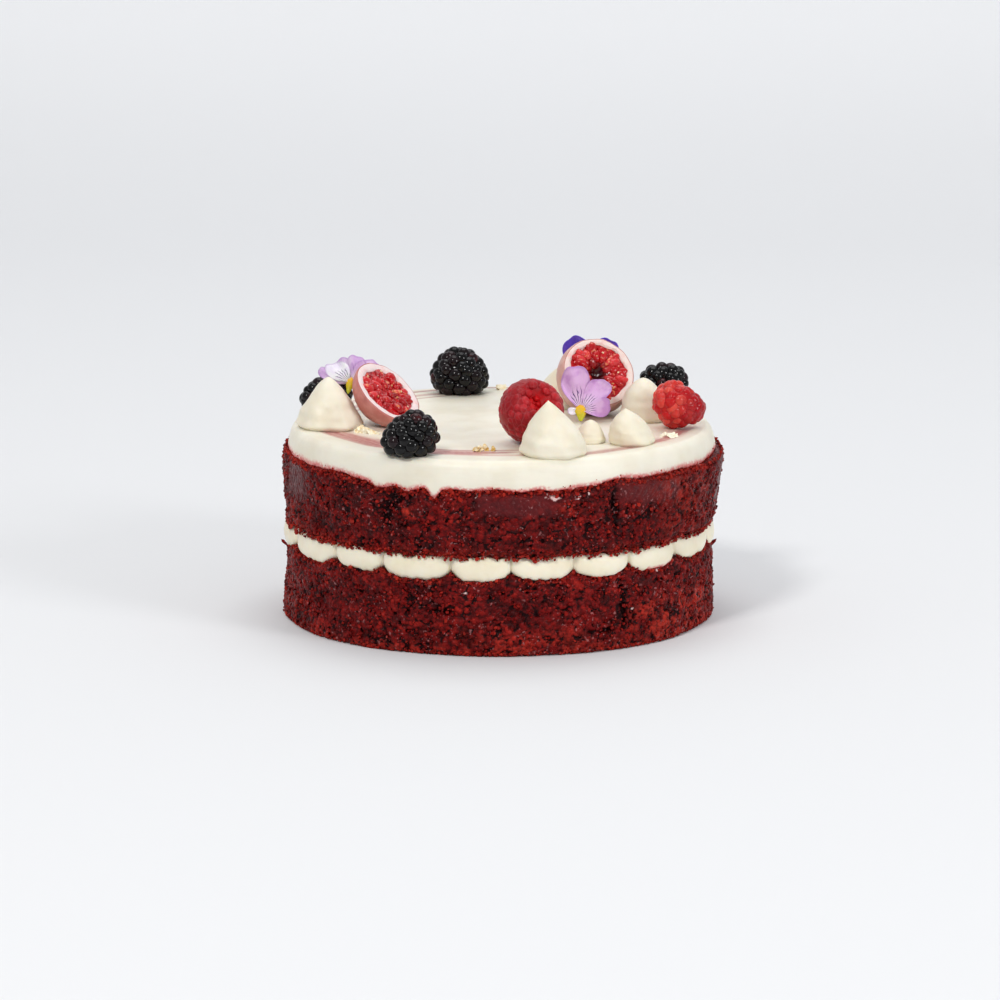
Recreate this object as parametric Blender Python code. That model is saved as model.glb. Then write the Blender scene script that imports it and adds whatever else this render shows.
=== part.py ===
"""Red velvet layer cake: two sponges, a piped filling, a cream frosting, fruit and flowers.

Metres, +Z up. The origin is at the middle of the foot and the shown side faces -Y. Angles round
the cake are in degrees from the front, positive towards +X. Each layer is a stack of rings with
the same columns, so that two layers that meet follow one seam and keep an even gap.
"""
import math

import bmesh
import bpy
import numpy as np
from mathutils import Quaternion, Vector

# Gap between pieces that touch
FIT_GAP = 0.0003

# Filling: piped blobs side by side round the rim, with the joints that show given as angles
BLOB_JOINTS_DEG = (-95.5, -72.0, -49.5, -32.7, -12.9, 3.0, 20.0, 36.5, 54.3, 76.3)
REAR_BLOBS = 11
COLUMNS_PER_BLOB = 5
BLOB_SINK = 0.0029
BLOB_SINK_SPREAD = 0.0006
BLOB_NOTCH = 0.0026
FILLING_FOOT_RADIUS = 0.0768
FILLING_BELLY_RADIUS = 0.0790
FILLING_SHOULDER_RADIUS = 0.0774
FILLING_RIM_RADIUS = 0.0762
FILLING_CENTRE_X = 0.0002
FILLING_BELLY_RISE = 0.0018
FILLING_SEAM_ROUGHNESS = 0.00025

# Colours of the crumb and the creams, and how rough each finish looks, from 0 for wet to 1 for dry
CRUMB_COLOUR = (0.16, 0.012, 0.012)
CRUMB_FINISH = 0.85
FILLING_COLOUR = (0.84, 0.79, 0.65)
FILLING_FINISH = 0.45
FROSTING_COLOUR = (0.86, 0.82, 0.70)
FROSTING_FINISH = 0.42
DOLLOP_COLOUR = (0.88, 0.84, 0.72)
DOLLOP_FINISH = 0.40

# Lower sponge
LOWER_RADIUS = 0.0783
LOWER_RIM_HEIGHT = 0.0302
LOWER_MIDDLE_HEIGHT = 0.0285
LOWER_SIDE_HEIGHTS = (0.0095, 0.0180)
FOOT_CHAMFER = 0.0017
RIM_CHAMFER = 0.0008
RIM_DROP = 0.0021

# Upper sponge
UPPER_UNDERSIDE = 0.0357
UPPER_UNDERSIDE_WAVE = 0.0004
UPPER_RADIUS_LOW = 0.0788
UPPER_RADIUS_HIGH = 0.0803
UPPER_SIDE_HEIGHTS = (0.0430, 0.0535)
UPPER_CENTRE_X = 0.0013
UPPER_CHAMFER = 0.0021
UPPER_CHAMFER_RISE = 0.0030
UPPER_SHOULDER_DROP = 0.0018
INNER_RADIUS = 0.0700

# Frosting
FROSTING_TOP = 0.0706
FROSTING_UNDERSIDE = 0.0613
FROSTING_FOOT = 0.0617
FROSTING_FOOT_ROUGHNESS = 0.0004
FROSTING_SEAM_RADIUS = 0.0778
FROSTING_INNER_RADIUS = 0.0735
FROSTING_CENTRE_X = 0.0009
# Side of the frosting above its foot: radius and height
FROSTING_SIDE = ((0.0776, 0.0672), (0.0766, 0.0694), (0.0750, FROSTING_TOP))
FROSTING_BULGE = 0.0006
FROSTING_BULGE_RISE = 0.0016
# Places where the frosting's lower edge dips or climbs: angle, rise, half width in degrees
FROSTING_FOOT_WAVES = (
    (-86.0, 0.0009, 9.0),
    (-34.0, -0.0016, 3.0),
    (-28.0, -0.00125, 13.0),
    (-25.2, -0.0018, 2.2),
    (-17.8, -0.0034, 1.7),
    (-10.0, -0.00125, 13.0),
    (8.0, -0.00125, 13.0),
    (26.0, -0.00125, 13.0),
    (31.0, 0.0016, 7.0),
    (66.0, -0.0006, 6.0),
    (140.0, -0.0011, 5.0),
    (204.0, 0.0012, 8.0),
    (243.0, -0.0014, 4.0),
)

# Crumb: how rough the cut sides are, and torn places as angle, height, depth, half width, half height
CRUMB_ROUGHNESS = 0.00045
CRUMB_SWELL = 0.0005
SWELL_WAVES = (2, 3, 5, 8, 13)
SWELL_TWIST = 160.0
LOWER_TEARS = (
    (-15.0, 0.0160, 0.0010, 0.0060, 0.0025),
    (37.8, 0.0180, 0.0011, 0.0022, 0.0100),
    (155.0, 0.0140, 0.0013, 0.0060, 0.0040),
    (262.0, 0.0180, 0.0012, 0.0050, 0.0050),
)
UPPER_TEARS = (
    (-27.5, 0.0535, 0.0016, 0.0060, 0.0045),
    (33.0, 0.0530, 0.0014, 0.0022, 0.0085),
    (118.0, 0.0480, 0.0015, 0.0050, 0.0050),
    (226.0, 0.0500, 0.0013, 0.0050, 0.0060),
)

# Piped dollops: name, middle x and y, radius, height, lean of the tip in x, fullness, bluntness
DOLLOPS = (
    ("cream_dollop_left", -0.0618, -0.0092, 0.0120, 0.0188, -0.0005, 1.30, 0.70),
    ("cream_dollop_front", 0.0195, -0.0628, 0.0120, 0.0197, -0.0020, 2.00, 1.00),
    ("cream_dollop_small", 0.0329, -0.0394, 0.0054, 0.0085, 0.0000, 2.20, 0.70),
    ("cream_dollop_right", 0.0474, -0.0416, 0.0084, 0.0130, -0.0020, 2.40, 0.90),
    ("cream_dollop_back", 0.0535, 0.0050, 0.0092, 0.0160, -0.0004, 2.20, 0.65),
    ("cream_dollop_rear", 0.0215, 0.0310, 0.0085, 0.0155, 0.0008, 2.00, 0.90),
)
DOLLOP_COLUMNS = 14
DOLLOP_RINGS = 9
DOLLOP_FOOT_SHARE = 0.84
DOLLOP_FOOT_HEIGHT = 0.12
DOLLOP_TIP_RADIUS = 0.0004

# Drupelet fruit: radii of the valleys, shoulders and crowns as shares of the fruit's own
VALLEY_SHARE = 0.91
SHOULDER_SHARE = 1.02
ROUND_CROWN_SHARE = 1.08
SMALL_CROWN_SHARE = 1.03
SHOULDER_WIDTH = 0.62
DRUPELET_SPREAD = 0.03
FOOT_SQUASH = 0.15
NO_FOOT = 1.2

# Dark berries: name, x, y, radii, taper, lean, foot share, the tip's azimuth and elevation, seed
DARK_BERRIES = (
    ("dark_berry_back", -0.0150, 0.0615, (0.0104, 0.0100, 0.0094), 0.14, 0.0002, 0.80, 0.0, 90.0, 3),
    ("dark_berry_front", -0.0312, -0.0628, (0.0096, 0.0093, 0.0086), 0.20, 0.0012, 0.76, 10.0, 84.0, 4),
    ("dark_berry_right", 0.0612, 0.0270, (0.0080, 0.0080, 0.0094), 0.14, 0.0, NO_FOOT, 70.0, 24.0, 5),
    ("dark_berry_left", -0.0640, 0.0150, (0.0072, 0.0072, 0.0096), 0.14, 0.0, NO_FOOT, -78.0, -16.0, 6),
)
DARK_BERRY_COLOUR = (0.012, 0.008, 0.014)
DARK_BERRY_FINISH = 0.25
DARK_BERRY_COAT = 0.60

# Raspberries: a whole one, its hollow given as a half angle and the radius left, and a torn one
WHOLE_RADII = (0.0117, 0.0117, 0.0117)
WHOLE_TAPER = -0.14
WHOLE_HOLLOW = (32.0, 0.42)
WHOLE_X = 0.0112
WHOLE_Y = -0.0408
WHOLE_FACING = (28.0, 40.0)
WHOLE_SEED = 9
WHOLE_COLOUR = (0.36, 0.008, 0.020)
RASPBERRY_FINISH = 0.45
TORN_RADII = (0.0075, 0.0079, 0.0094)
TORN_TAPER = 0.26
TORN_X = 0.0655
TORN_Y = -0.0125
TORN_FACING = (86.0, -12.0, 20.0)
TORN_SEED = 12
TORN_COLOUR = (0.50, 0.025, 0.028)

# Fig halves: name, x, y, face radius, bowl depth, drop, pulp radius, dome, hollow, nub,
# the cut face's azimuth and elevation, seed, skin colour
FIGS = (
    ("fig_half_left", -0.0406, -0.0062, 0.0139, 0.0110, 0.0, 0.0110, 0.0006, 0.0004, 0.0026,
     56.4, 46.1, 21, (0.50, 0.16, 0.13)),
    ("fig_half_right", 0.0368, 0.0125, 0.0143, 0.0143, 0.0045, 0.0113, 0.0004, 0.0034, 0.0,
     20.4, 33.5, 22, (0.55, 0.22, 0.19)),
)
FIG_FINISH = 0.50
FIG_COLUMNS = 20
FIG_BOWL_RINGS = 6
FIG_BOWL_START = math.radians(7.0)
FIG_PULP_STEP = 0.0005
FIG_PULP_RINGS = (0.96, 0.72, 0.46, 0.22, 0.06)
FIG_PULP_BUMP = 0.0005
FIG_HOLLOW_SHARE = 0.30
FIG_RIM_STEP_WIDTH = 0.0004
FIG_RIM_STEP_HEIGHT = 0.0001
FIG_NUB_REACH = math.radians(50.0)

# Flowers: name, x, y, height over the frosting or None to rest on it, cup, azimuth and elevation,
# colour, and the petals as a direction, a length and a half width in degrees
FLOWERS = (
    ("viola_front", 0.0300, -0.0012, None, 8.0, 0.0, 33.0, (0.62, 0.42, 0.66),
     ((97.0, 0.0168, 34.0), (55.0, 0.0152, 28.0), (8.0, 0.0110, 28.0), (185.0, 0.0050, 30.0))),
    ("viola_back", 0.0346, 0.0317, None, 0.0, 0.0, -18.0, (0.20, 0.12, 0.55),
     ((121.0, 0.0154, 31.0), (57.0, 0.0148, 31.0), (172.0, 0.0070, 26.0), (5.0, 0.0090, 28.0),
      (272.0, 0.0152, 34.0))),
    ("viola_left", -0.0546, 0.0027, 0.0141, -6.0, -12.0, 42.0, (0.66, 0.52, 0.72),
     ((168.0, 0.0122, 30.0), (138.0, 0.0132, 24.0), (98.0, 0.0105, 30.0), (52.0, 0.0130, 26.0))),
)
PETAL_FINISH = 0.60
PETAL_COLUMNS = 25
PETAL_RINGS = (0.4, 0.75, 1.0)
PETAL_THICKNESS = 0.0006
PETAL_CORE = 0.0030
PETAL_WAVE = 0.0011
PETAL_WAVE_REACH = 0.008
PETAL_WAVES_ROUND = 5

# Gold leaf: x, y, length, turn and tilt in degrees of each scrap
FLAKES = (
    (-0.0497, -0.0222, 0.0050, 20.0, 38.0),
    (-0.0452, -0.0238, 0.0046, -12.0, 24.0),
    (-0.0083, -0.0566, 0.0044, 8.0, 30.0),
    (-0.0030, -0.0562, 0.0040, -25.0, 42.0),
    (0.0005, 0.0688, 0.0046, 15.0, 40.0),
    (0.0055, 0.0690, 0.0034, -35.0, 28.0),
    (0.0622, -0.0290, 0.0052, 12.0, 26.0),
)
FLAKE_COLUMNS = 7
FLAKE_THICKNESS = 0.0005
FLAKE_WIDTH_SHARE = 0.55
FLAKE_SINK = 0.0001


def principled(name, colour, roughness, coat=0.0):
    """Makes a plain Principled material with the part's colour and roughness."""
    material = bpy.data.materials.new(name)
    material.use_nodes = True
    shader = material.node_tree.nodes["Principled BSDF"]
    shader.inputs["Base Color"].default_value = (*colour, 1.0)
    shader.inputs["Roughness"].default_value = roughness
    shader.inputs["Metallic"].default_value = 0.0
    shader.inputs["Coat Weight"].default_value = coat
    material.diffuse_color = (*colour, 1.0)
    return material


def finished_object(name, vertices, faces, material, sharp_angle=40.0):
    """Makes a mesh with its faces outwards, shades it and links it as one named object."""
    mesh = bpy.data.meshes.new(name)
    mesh.from_pydata(np.asarray(vertices).tolist(), [], faces)
    shell = bmesh.new()
    shell.from_mesh(mesh)
    bmesh.ops.recalc_face_normals(shell, faces=shell.faces)
    shell.to_mesh(mesh)
    shell.free()
    mesh.shade_smooth()
    mesh.set_sharp_from_angle(angle=math.radians(sharp_angle))
    mesh.materials.append(material)
    piece = bpy.data.objects.new(name, mesh)
    bpy.context.scene.collection.objects.link(piece)
    return piece


def stacked_rings(name, rings, material, sharp_angle=40.0):
    """Joins rings of equal count into one closed solid, with a flat face at each end.

    Each quad is split from its wider ring's point to the next point of the narrower ring, so that
    two solids that meet along one seam are split alike.
    """
    count = len(rings[0])
    widths = [np.hypot(points[:, 0], points[:, 1]).mean() for points in rings]
    faces = [tuple(range(count))]
    for level in range(len(rings) - 1):
        inner = level * count
        outer = inner + count
        if widths[level] > widths[level + 1]:
            inner, outer = outer, inner
        for i in range(count):
            j = (i + 1) % count
            faces.append((outer + i, inner + j, inner + i))
            faces.append((outer + i, outer + j, inner + j))
    last = (len(rings) - 1) * count
    faces.append(tuple(range(last, last + count)))
    return finished_object(name, np.concatenate(rings), faces, material, sharp_angle)


def facing(azimuth, elevation, roll=0.0):
    """Returns the turn that points local Z at an azimuth from the front and an elevation."""
    across = math.radians(azimuth)
    lift = math.radians(elevation)
    aim = Vector((math.sin(across) * math.cos(lift), -math.cos(across) * math.cos(lift), math.sin(lift)))
    return aim.to_track_quat("Z", "Y") @ Quaternion((0.0, 0.0, 1.0), math.radians(roll))


def place(piece, location, turn):
    """Sets an object's location and turn."""
    piece.rotation_mode = "QUATERNION"
    piece.rotation_quaternion = turn
    piece.location = location


def settle(piece, x, y, turn):
    """Turns an object and rests its lowest point on the frosting at x and y."""
    matrix = turn.to_matrix()
    lowest = min((matrix @ vertex.co).z for vertex in piece.data.vertices)
    place(piece, (x, y, FROSTING_TOP + FIT_GAP - lowest), turn)


def blob_columns():
    """Returns each column's angle in radians, its place across its blob from -1, and its blob."""
    first = BLOB_JOINTS_DEG[0]
    rear = np.linspace(BLOB_JOINTS_DEG[-1], first + 360.0, REAR_BLOBS + 1)
    joints = np.concatenate([BLOB_JOINTS_DEG[:-1], rear])
    share = np.arange(COLUMNS_PER_BLOB) / COLUMNS_PER_BLOB
    degrees = (joints[:-1, None] + np.diff(joints)[:, None] * share).ravel()
    across = np.tile(2.0 * share - 1.0, len(joints) - 1)
    blob = np.repeat(np.arange(len(joints) - 1), COLUMNS_PER_BLOB)
    return np.radians(degrees), across, blob


def ring(angles, radius, height, centre_x):
    """Returns one ring's points from a radius and a height, which may vary by column."""
    flat = np.zeros_like(angles)
    return np.column_stack([centre_x + radius * np.sin(angles), -radius * np.cos(angles), flat + height])


def wrapped(angles, centre_deg):
    """Returns the angles' distance in degrees from a centre, between -180 and 180."""
    return (np.degrees(angles) - centre_deg + 180.0) % 360.0 - 180.0


def swell(angles, height, rng_phases):
    """Slow in-and-out of a cut side: a few waves round the cake that shift with height."""
    total = np.zeros_like(angles)
    for waves, phase in zip(SWELL_WAVES, rng_phases):
        total += np.sin(waves * angles + phase + SWELL_TWIST * height) / math.sqrt(waves)
    return CRUMB_SWELL * total


def tears(angles, height, radius, places):
    """Inward depth of the torn places: a round dip for each, in arc length and height."""
    depth = np.zeros_like(angles)
    for centre, level, deep, half_width, half_height in places:
        arc = np.radians(wrapped(angles, centre)) * radius
        depth += deep * np.exp(-((arc / half_width) ** 2) - ((height - level) / half_height) ** 2)
    return depth


def crumb_side(angles, radius, height, places, phases, rng):
    """Radius of a sponge's side at one height, with its swell, torn places and crumbs."""
    crumbs = rng.uniform(-CRUMB_ROUGHNESS, CRUMB_ROUGHNESS, len(angles))
    return radius + swell(angles, height, phases) - tears(angles, height, radius, places) + crumbs


def filling_seam(across, blob):
    """Height of the lower sponge's rim, pressed down under each blob and left high at its joints."""
    rng = np.random.default_rng(41)
    sink = BLOB_SINK + rng.uniform(-BLOB_SINK_SPREAD, BLOB_SINK_SPREAD, blob.max() + 1)
    crumbs = rng.uniform(-FILLING_SEAM_ROUGHNESS, FILLING_SEAM_ROUGHNESS, len(across))
    return LOWER_RIM_HEIGHT - sink[blob] * (1.0 - np.abs(across) ** 3) + crumbs


def upper_seam(angles):
    """Height of the upper sponge's underside at its rim."""
    rng = np.random.default_rng(42)
    return UPPER_UNDERSIDE + rng.uniform(-UPPER_UNDERSIDE_WAVE, UPPER_UNDERSIDE_WAVE, len(angles))


def frosting_seam(angles):
    """Height of the frosting's lower edge: a level line with crumbs and some dips and climbs."""
    rng = np.random.default_rng(43)
    height = FROSTING_FOOT + rng.uniform(-FROSTING_FOOT_ROUGHNESS, FROSTING_FOOT_ROUGHNESS, len(angles))
    for centre, rise, half_width in FROSTING_FOOT_WAVES:
        height += rise * np.exp(-((wrapped(angles, centre) / half_width) ** 2))
    return height


def lower_sponge(angles, seam):
    """Builds the sponge that the cake stands on."""
    rng = np.random.default_rng(7)
    phases = rng.uniform(0.0, 2.0 * math.pi, len(SWELL_WAVES))

    def side(radius, height):
        return crumb_side(angles, radius, height, LOWER_TEARS, phases, rng)

    rings = [
        ring(angles, side(LOWER_RADIUS - FOOT_CHAMFER, 0.0), 0.0, 0.0),
        ring(angles, side(LOWER_RADIUS, FOOT_CHAMFER), FOOT_CHAMFER, 0.0),
    ]
    for height in LOWER_SIDE_HEIGHTS:
        rings.append(ring(angles, side(LOWER_RADIUS, height), height, 0.0))
    rings.append(ring(angles, side(LOWER_RADIUS, seam - RIM_DROP), seam - RIM_DROP, 0.0))
    rings.append(ring(angles, LOWER_RADIUS - RIM_CHAMFER, seam, 0.0))
    rings.append(ring(angles, INNER_RADIUS, LOWER_MIDDLE_HEIGHT, 0.0))
    crumb = principled("red_velvet_crumb_lower", CRUMB_COLOUR, CRUMB_FINISH)
    return stacked_rings("sponge_bottom", rings, crumb)


def filling(angles, across, seam_low, seam_high):
    """Builds the piped filling: blobs round the rim, notched where they meet."""
    notch = BLOB_NOTCH * np.abs(across) ** 6
    x = FILLING_CENTRE_X
    rings = [
        ring(angles, INNER_RADIUS, LOWER_MIDDLE_HEIGHT + FIT_GAP, 0.0),
        ring(angles, FILLING_FOOT_RADIUS - 0.4 * notch, seam_low + FIT_GAP, 0.0),
        ring(angles, FILLING_BELLY_RADIUS - notch, seam_low + FILLING_BELLY_RISE, x),
        ring(angles, FILLING_BELLY_RADIUS - notch, seam_high - 1.4 * FILLING_BELLY_RISE, x),
        ring(angles, FILLING_SHOULDER_RADIUS - notch, seam_high - 0.6 * FILLING_BELLY_RISE, x),
        ring(angles, FILLING_RIM_RADIUS - notch, seam_high - FIT_GAP, x),
        ring(angles, INNER_RADIUS, UPPER_UNDERSIDE - FIT_GAP, 0.0),
    ]
    cream = principled("filling_cream", FILLING_COLOUR, FILLING_FINISH)
    return stacked_rings("filling", rings, cream, 70.0)


def upper_sponge(angles, seam_low, seam_high):
    """Builds the upper sponge, which flares towards its top and to the right."""
    rng = np.random.default_rng(8)
    phases = rng.uniform(0.0, 2.0 * math.pi, len(SWELL_WAVES))
    flare_start = UPPER_UNDERSIDE + UPPER_CHAMFER_RISE
    flare = (UPPER_RADIUS_HIGH - UPPER_RADIUS_LOW) / (FROSTING_FOOT - UPPER_SHOULDER_DROP - flare_start)

    def side(height):
        radius = UPPER_RADIUS_LOW + flare * (height - flare_start)
        return crumb_side(angles, radius, height, UPPER_TEARS, phases, rng)

    shoulder = seam_high - UPPER_SHOULDER_DROP
    rings = [
        ring(angles, INNER_RADIUS, UPPER_UNDERSIDE, 0.0),
        ring(angles, UPPER_RADIUS_LOW - UPPER_CHAMFER, seam_low, FILLING_CENTRE_X),
        ring(angles, side(seam_low + UPPER_CHAMFER_RISE), seam_low + UPPER_CHAMFER_RISE, UPPER_CENTRE_X),
    ]
    for height in UPPER_SIDE_HEIGHTS:
        rings.append(ring(angles, side(height), height, UPPER_CENTRE_X))
    rings.append(ring(angles, side(shoulder), shoulder, UPPER_CENTRE_X))
    rings.append(ring(angles, FROSTING_SEAM_RADIUS, seam_high - FIT_GAP, FROSTING_CENTRE_X))
    rings.append(ring(angles, FROSTING_INNER_RADIUS, FROSTING_UNDERSIDE - FIT_GAP, FROSTING_CENTRE_X))
    crumb = principled("red_velvet_crumb_upper", CRUMB_COLOUR, CRUMB_FINISH)
    return stacked_rings("sponge_top", rings, crumb)


def frosting(angles, seam):
    """Builds the frosting, with its scraps of gold leaf fused on."""
    x = FROSTING_CENTRE_X
    rings = [
        ring(angles, FROSTING_INNER_RADIUS, FROSTING_UNDERSIDE, x),
        ring(angles, FROSTING_SEAM_RADIUS, seam, x),
        ring(angles, FROSTING_SEAM_RADIUS + FROSTING_BULGE, seam + FROSTING_BULGE_RISE, x),
    ]
    for radius, height in FROSTING_SIDE:
        rings.append(ring(angles, radius, height, x))
    cream = principled("frosting_cream", FROSTING_COLOUR, FROSTING_FINISH)
    body = stacked_rings("frosting", rings, cream, 70.0)
    fuse(body, gold_leaf(cream))
    return body


def fuse(body, scraps):
    """Joins a list of objects to a body by one Boolean union and removes them."""
    group = bpy.data.collections.new("scraps")
    bpy.context.scene.collection.children.link(group)
    for scrap in scraps:
        bpy.context.scene.collection.objects.unlink(scrap)
        group.objects.link(scrap)
    union = body.modifiers.new("union", "BOOLEAN")
    union.operation = "UNION"
    union.solver = "EXACT"
    union.operand_type = "COLLECTION"
    union.collection = group
    with bpy.context.temp_override(object=body, active_object=body, selected_objects=[body]):
        bpy.ops.object.modifier_apply(modifier=union.name)
    for scrap in scraps:
        bpy.data.objects.remove(scrap)
    bpy.data.collections.remove(group)


def gold_leaf(material):
    """Makes the scraps of gold leaf that stand in the frosting."""
    turn = np.arange(FLAKE_COLUMNS) * 2.0 * math.pi / FLAKE_COLUMNS
    rng = np.random.default_rng(19)
    scraps = []
    for index, (x, y, length, spin, tilt) in enumerate(FLAKES):
        oval = 0.5 * length / np.sqrt(np.cos(turn) ** 2 + (np.sin(turn) / FLAKE_WIDTH_SHARE) ** 2)
        reach = oval * rng.uniform(0.8, 1.15, FLAKE_COLUMNS)

        def crumple(radius, angle):
            return 0.12 * radius * np.sin(3.0 * angle)

        scrap = wavy_sheet(f"gold_leaf_{index}", reach, (1.0,), crumple, FLAKE_THICKNESS, material)
        turned = Quaternion((0.0, 0.0, 1.0), math.radians(spin))
        lean = turned @ Quaternion((1.0, 0.0, 0.0), math.radians(tilt))
        lift = FROSTING_TOP + 0.5 * length * FLAKE_WIDTH_SHARE * math.sin(math.radians(tilt)) - FLAKE_SINK
        place(scrap, (x, y, lift), lean)
        scraps.append(scrap)
    bpy.context.view_layer.update()
    return scraps


def wavy_sheet(name, reach, ring_shares, height, thickness, material):
    """Makes a thin sheet round local Z, whose two faces are split into triangles alike.

    reach is the outline's radius at each column, and height gives the upper face's local Z from
    a radius and an angle.
    """
    count = len(reach)
    turn = np.arange(count) * 2.0 * math.pi / count
    upper = [np.array([[0.0, 0.0, height(0.0, 0.0)]])]
    for share in ring_shares:
        radius = reach * share
        upper.append(np.column_stack([radius * np.cos(turn), radius * np.sin(turn), height(radius, turn)]))
    upper = np.concatenate(upper)
    lower = upper - np.array([0.0, 0.0, thickness])
    side = len(upper)
    faces = []
    for base in (0, side):
        for i in range(count):
            j = (i + 1) % count
            faces.append((base, base + 1 + i, base + 1 + j))
            for level in range(len(ring_shares) - 1):
                near = base + 1 + level * count
                far = near + count
                faces.append((near + i, far + i, far + j))
                faces.append((near + i, far + j, near + j))
    rim = 1 + (len(ring_shares) - 1) * count
    for i in range(count):
        j = (i + 1) % count
        faces.append((rim + i, side + rim + i, side + rim + j, rim + j))
    return finished_object(name, np.concatenate([upper, lower]), faces, material, 60.0)


def dollop(name, x, y, radius, height, lean, fullness, bluntness, material):
    """Builds a piped dollop: full at its foot, drawn up to a tip that leans.

    Above the foot its radius is that of the foot times (1 - share ** fullness) ** bluntness,
    where share is the height's share of the whole.
    """
    turn = np.arange(DOLLOP_COLUMNS) * 2.0 * math.pi / DOLLOP_COLUMNS
    shares = np.linspace(0.0, 1.0, DOLLOP_RINGS) ** 0.9
    rings = []
    for share in shares:
        rounding = min(share / DOLLOP_FOOT_HEIGHT, 1.0)
        foot = DOLLOP_FOOT_SHARE + (1.0 - DOLLOP_FOOT_SHARE) * math.sin(0.5 * math.pi * rounding)
        reach = foot * (1.0 - share ** fullness) ** bluntness * radius
        reach = max(reach, DOLLOP_TIP_RADIUS)
        shift = lean * share ** 1.5
        level = np.full(DOLLOP_COLUMNS, share * height)
        rings.append(np.column_stack([shift + reach * np.cos(turn), reach * np.sin(turn), level]))
    piece = stacked_rings(name, rings, material, 60.0)
    settle(piece, x, y, Quaternion())
    return piece


def dollops():
    """Builds all the piped dollops."""
    for name, x, y, radius, height, lean, fullness, bluntness in DOLLOPS:
        cream = principled(name, DOLLOP_COLOUR, DOLLOP_FINISH)
        dollop(name, x, y, radius, height, lean, fullness, bluntness, cream)


def egg(points, radii, taper, lean, foot):
    """Shapes a unit ball into a fruit: radii, narrower towards local +Z, leaning, and flat below.

    Each level's width is the ball's times (1 - taper * level). Below the foot, a share of the
    height radius, the rest is squashed nearly flat.
    """
    level = points[:, 2]
    width = 1.0 - taper * level
    shaped = points * np.array(radii)
    shaped[:, :2] *= width[:, None]
    shaped[:, 0] += lean * level
    floor = -foot * radii[2]
    below = shaped[:, 2] < floor
    shaped[below, 2] = floor + FOOT_SQUASH * (shaped[below, 2] - floor)
    return shaped


def drupelet_fruit(name, steps, radii, taper, lean, foot, rounded, hollow, seed, material):
    """Covers a fruit with drupelets, one on each point of an icosphere of the given steps.

    A drupelet's outline joins the middles of the faces round its point, which lie in the valleys.
    Rounded drupelets have a shoulder ring below the crown. hollow is the opening's half angle
    round local +Z in degrees and the share of the radius that is left at its bottom.
    """
    rng = np.random.default_rng(seed)
    ball = bmesh.new()
    bmesh.ops.create_icosphere(ball, subdivisions=steps, radius=1.0)
    points = [face.calc_center_median().normalized() * VALLEY_SHARE for face in ball.faces]
    faces = []
    for vertex in ball.verts:
        axis = vertex.co.normalized()
        side = axis.orthogonal().normalized()
        up = axis.cross(side)
        corners = sorted(
            (face.index for face in vertex.link_faces),
            key=lambda index: math.atan2(points[index].dot(up), points[index].dot(side)),
        )
        swollen = 1.0 + rng.uniform(-DRUPELET_SPREAD, DRUPELET_SPREAD)
        outline = corners
        if rounded:
            outline = []
            for index in corners:
                shoulder = axis.lerp(points[index].normalized(), SHOULDER_WIDTH).normalized()
                outline.append(len(points))
                points.append(shoulder * SHOULDER_SHARE * swollen)
            for i in range(len(corners)):
                j = (i + 1) % len(corners)
                faces.append((corners[i], corners[j], outline[j], outline[i]))
        crown = len(points)
        points.append(axis * (ROUND_CROWN_SHARE if rounded else SMALL_CROWN_SHARE) * swollen)
        for i in range(len(outline)):
            faces.append((outline[i], outline[(i + 1) % len(outline)], crown))
    ball.free()
    points = np.array([tuple(point) for point in points])
    if hollow:
        half_angle, left = hollow
        polar = np.degrees(np.arccos(points[:, 2] / np.linalg.norm(points, axis=1)))
        inward = np.clip((half_angle - polar) / (0.5 * half_angle), 0.0, 1.0)
        points *= (1.0 - (1.0 - left) * inward)[:, None]
    return finished_object(name, egg(points, radii, taper, lean, foot), faces, material, 80.0)


def dark_berries():
    """Builds the dark berries: two upright, two lying low behind the dollops."""
    for name, x, y, radii, taper, lean, foot, azimuth, elevation, seed in DARK_BERRIES:
        skin = principled(name, DARK_BERRY_COLOUR, DARK_BERRY_FINISH, DARK_BERRY_COAT)
        fruit = drupelet_fruit(name, 2, radii, taper, lean, foot, True, None, seed, skin)
        settle(fruit, x, y, facing(azimuth, elevation))


def raspberries():
    """Builds the whole raspberry, whose hollow end faces up and right, and the torn one beside it."""
    red = principled("raspberry_whole", WHOLE_COLOUR, RASPBERRY_FINISH)
    whole = drupelet_fruit(
        "raspberry_whole", 3, WHOLE_RADII, WHOLE_TAPER, 0.0, NO_FOOT, False, WHOLE_HOLLOW, WHOLE_SEED, red)
    settle(whole, WHOLE_X, WHOLE_Y, facing(*WHOLE_FACING))
    pale_red = principled("raspberry_torn", TORN_COLOUR, RASPBERRY_FINISH)
    torn = drupelet_fruit(
        "raspberry_torn", 2, TORN_RADII, TORN_TAPER, 0.0, NO_FOOT, True, None, TORN_SEED, pale_red)
    settle(torn, TORN_X, TORN_Y, facing(*TORN_FACING))


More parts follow.
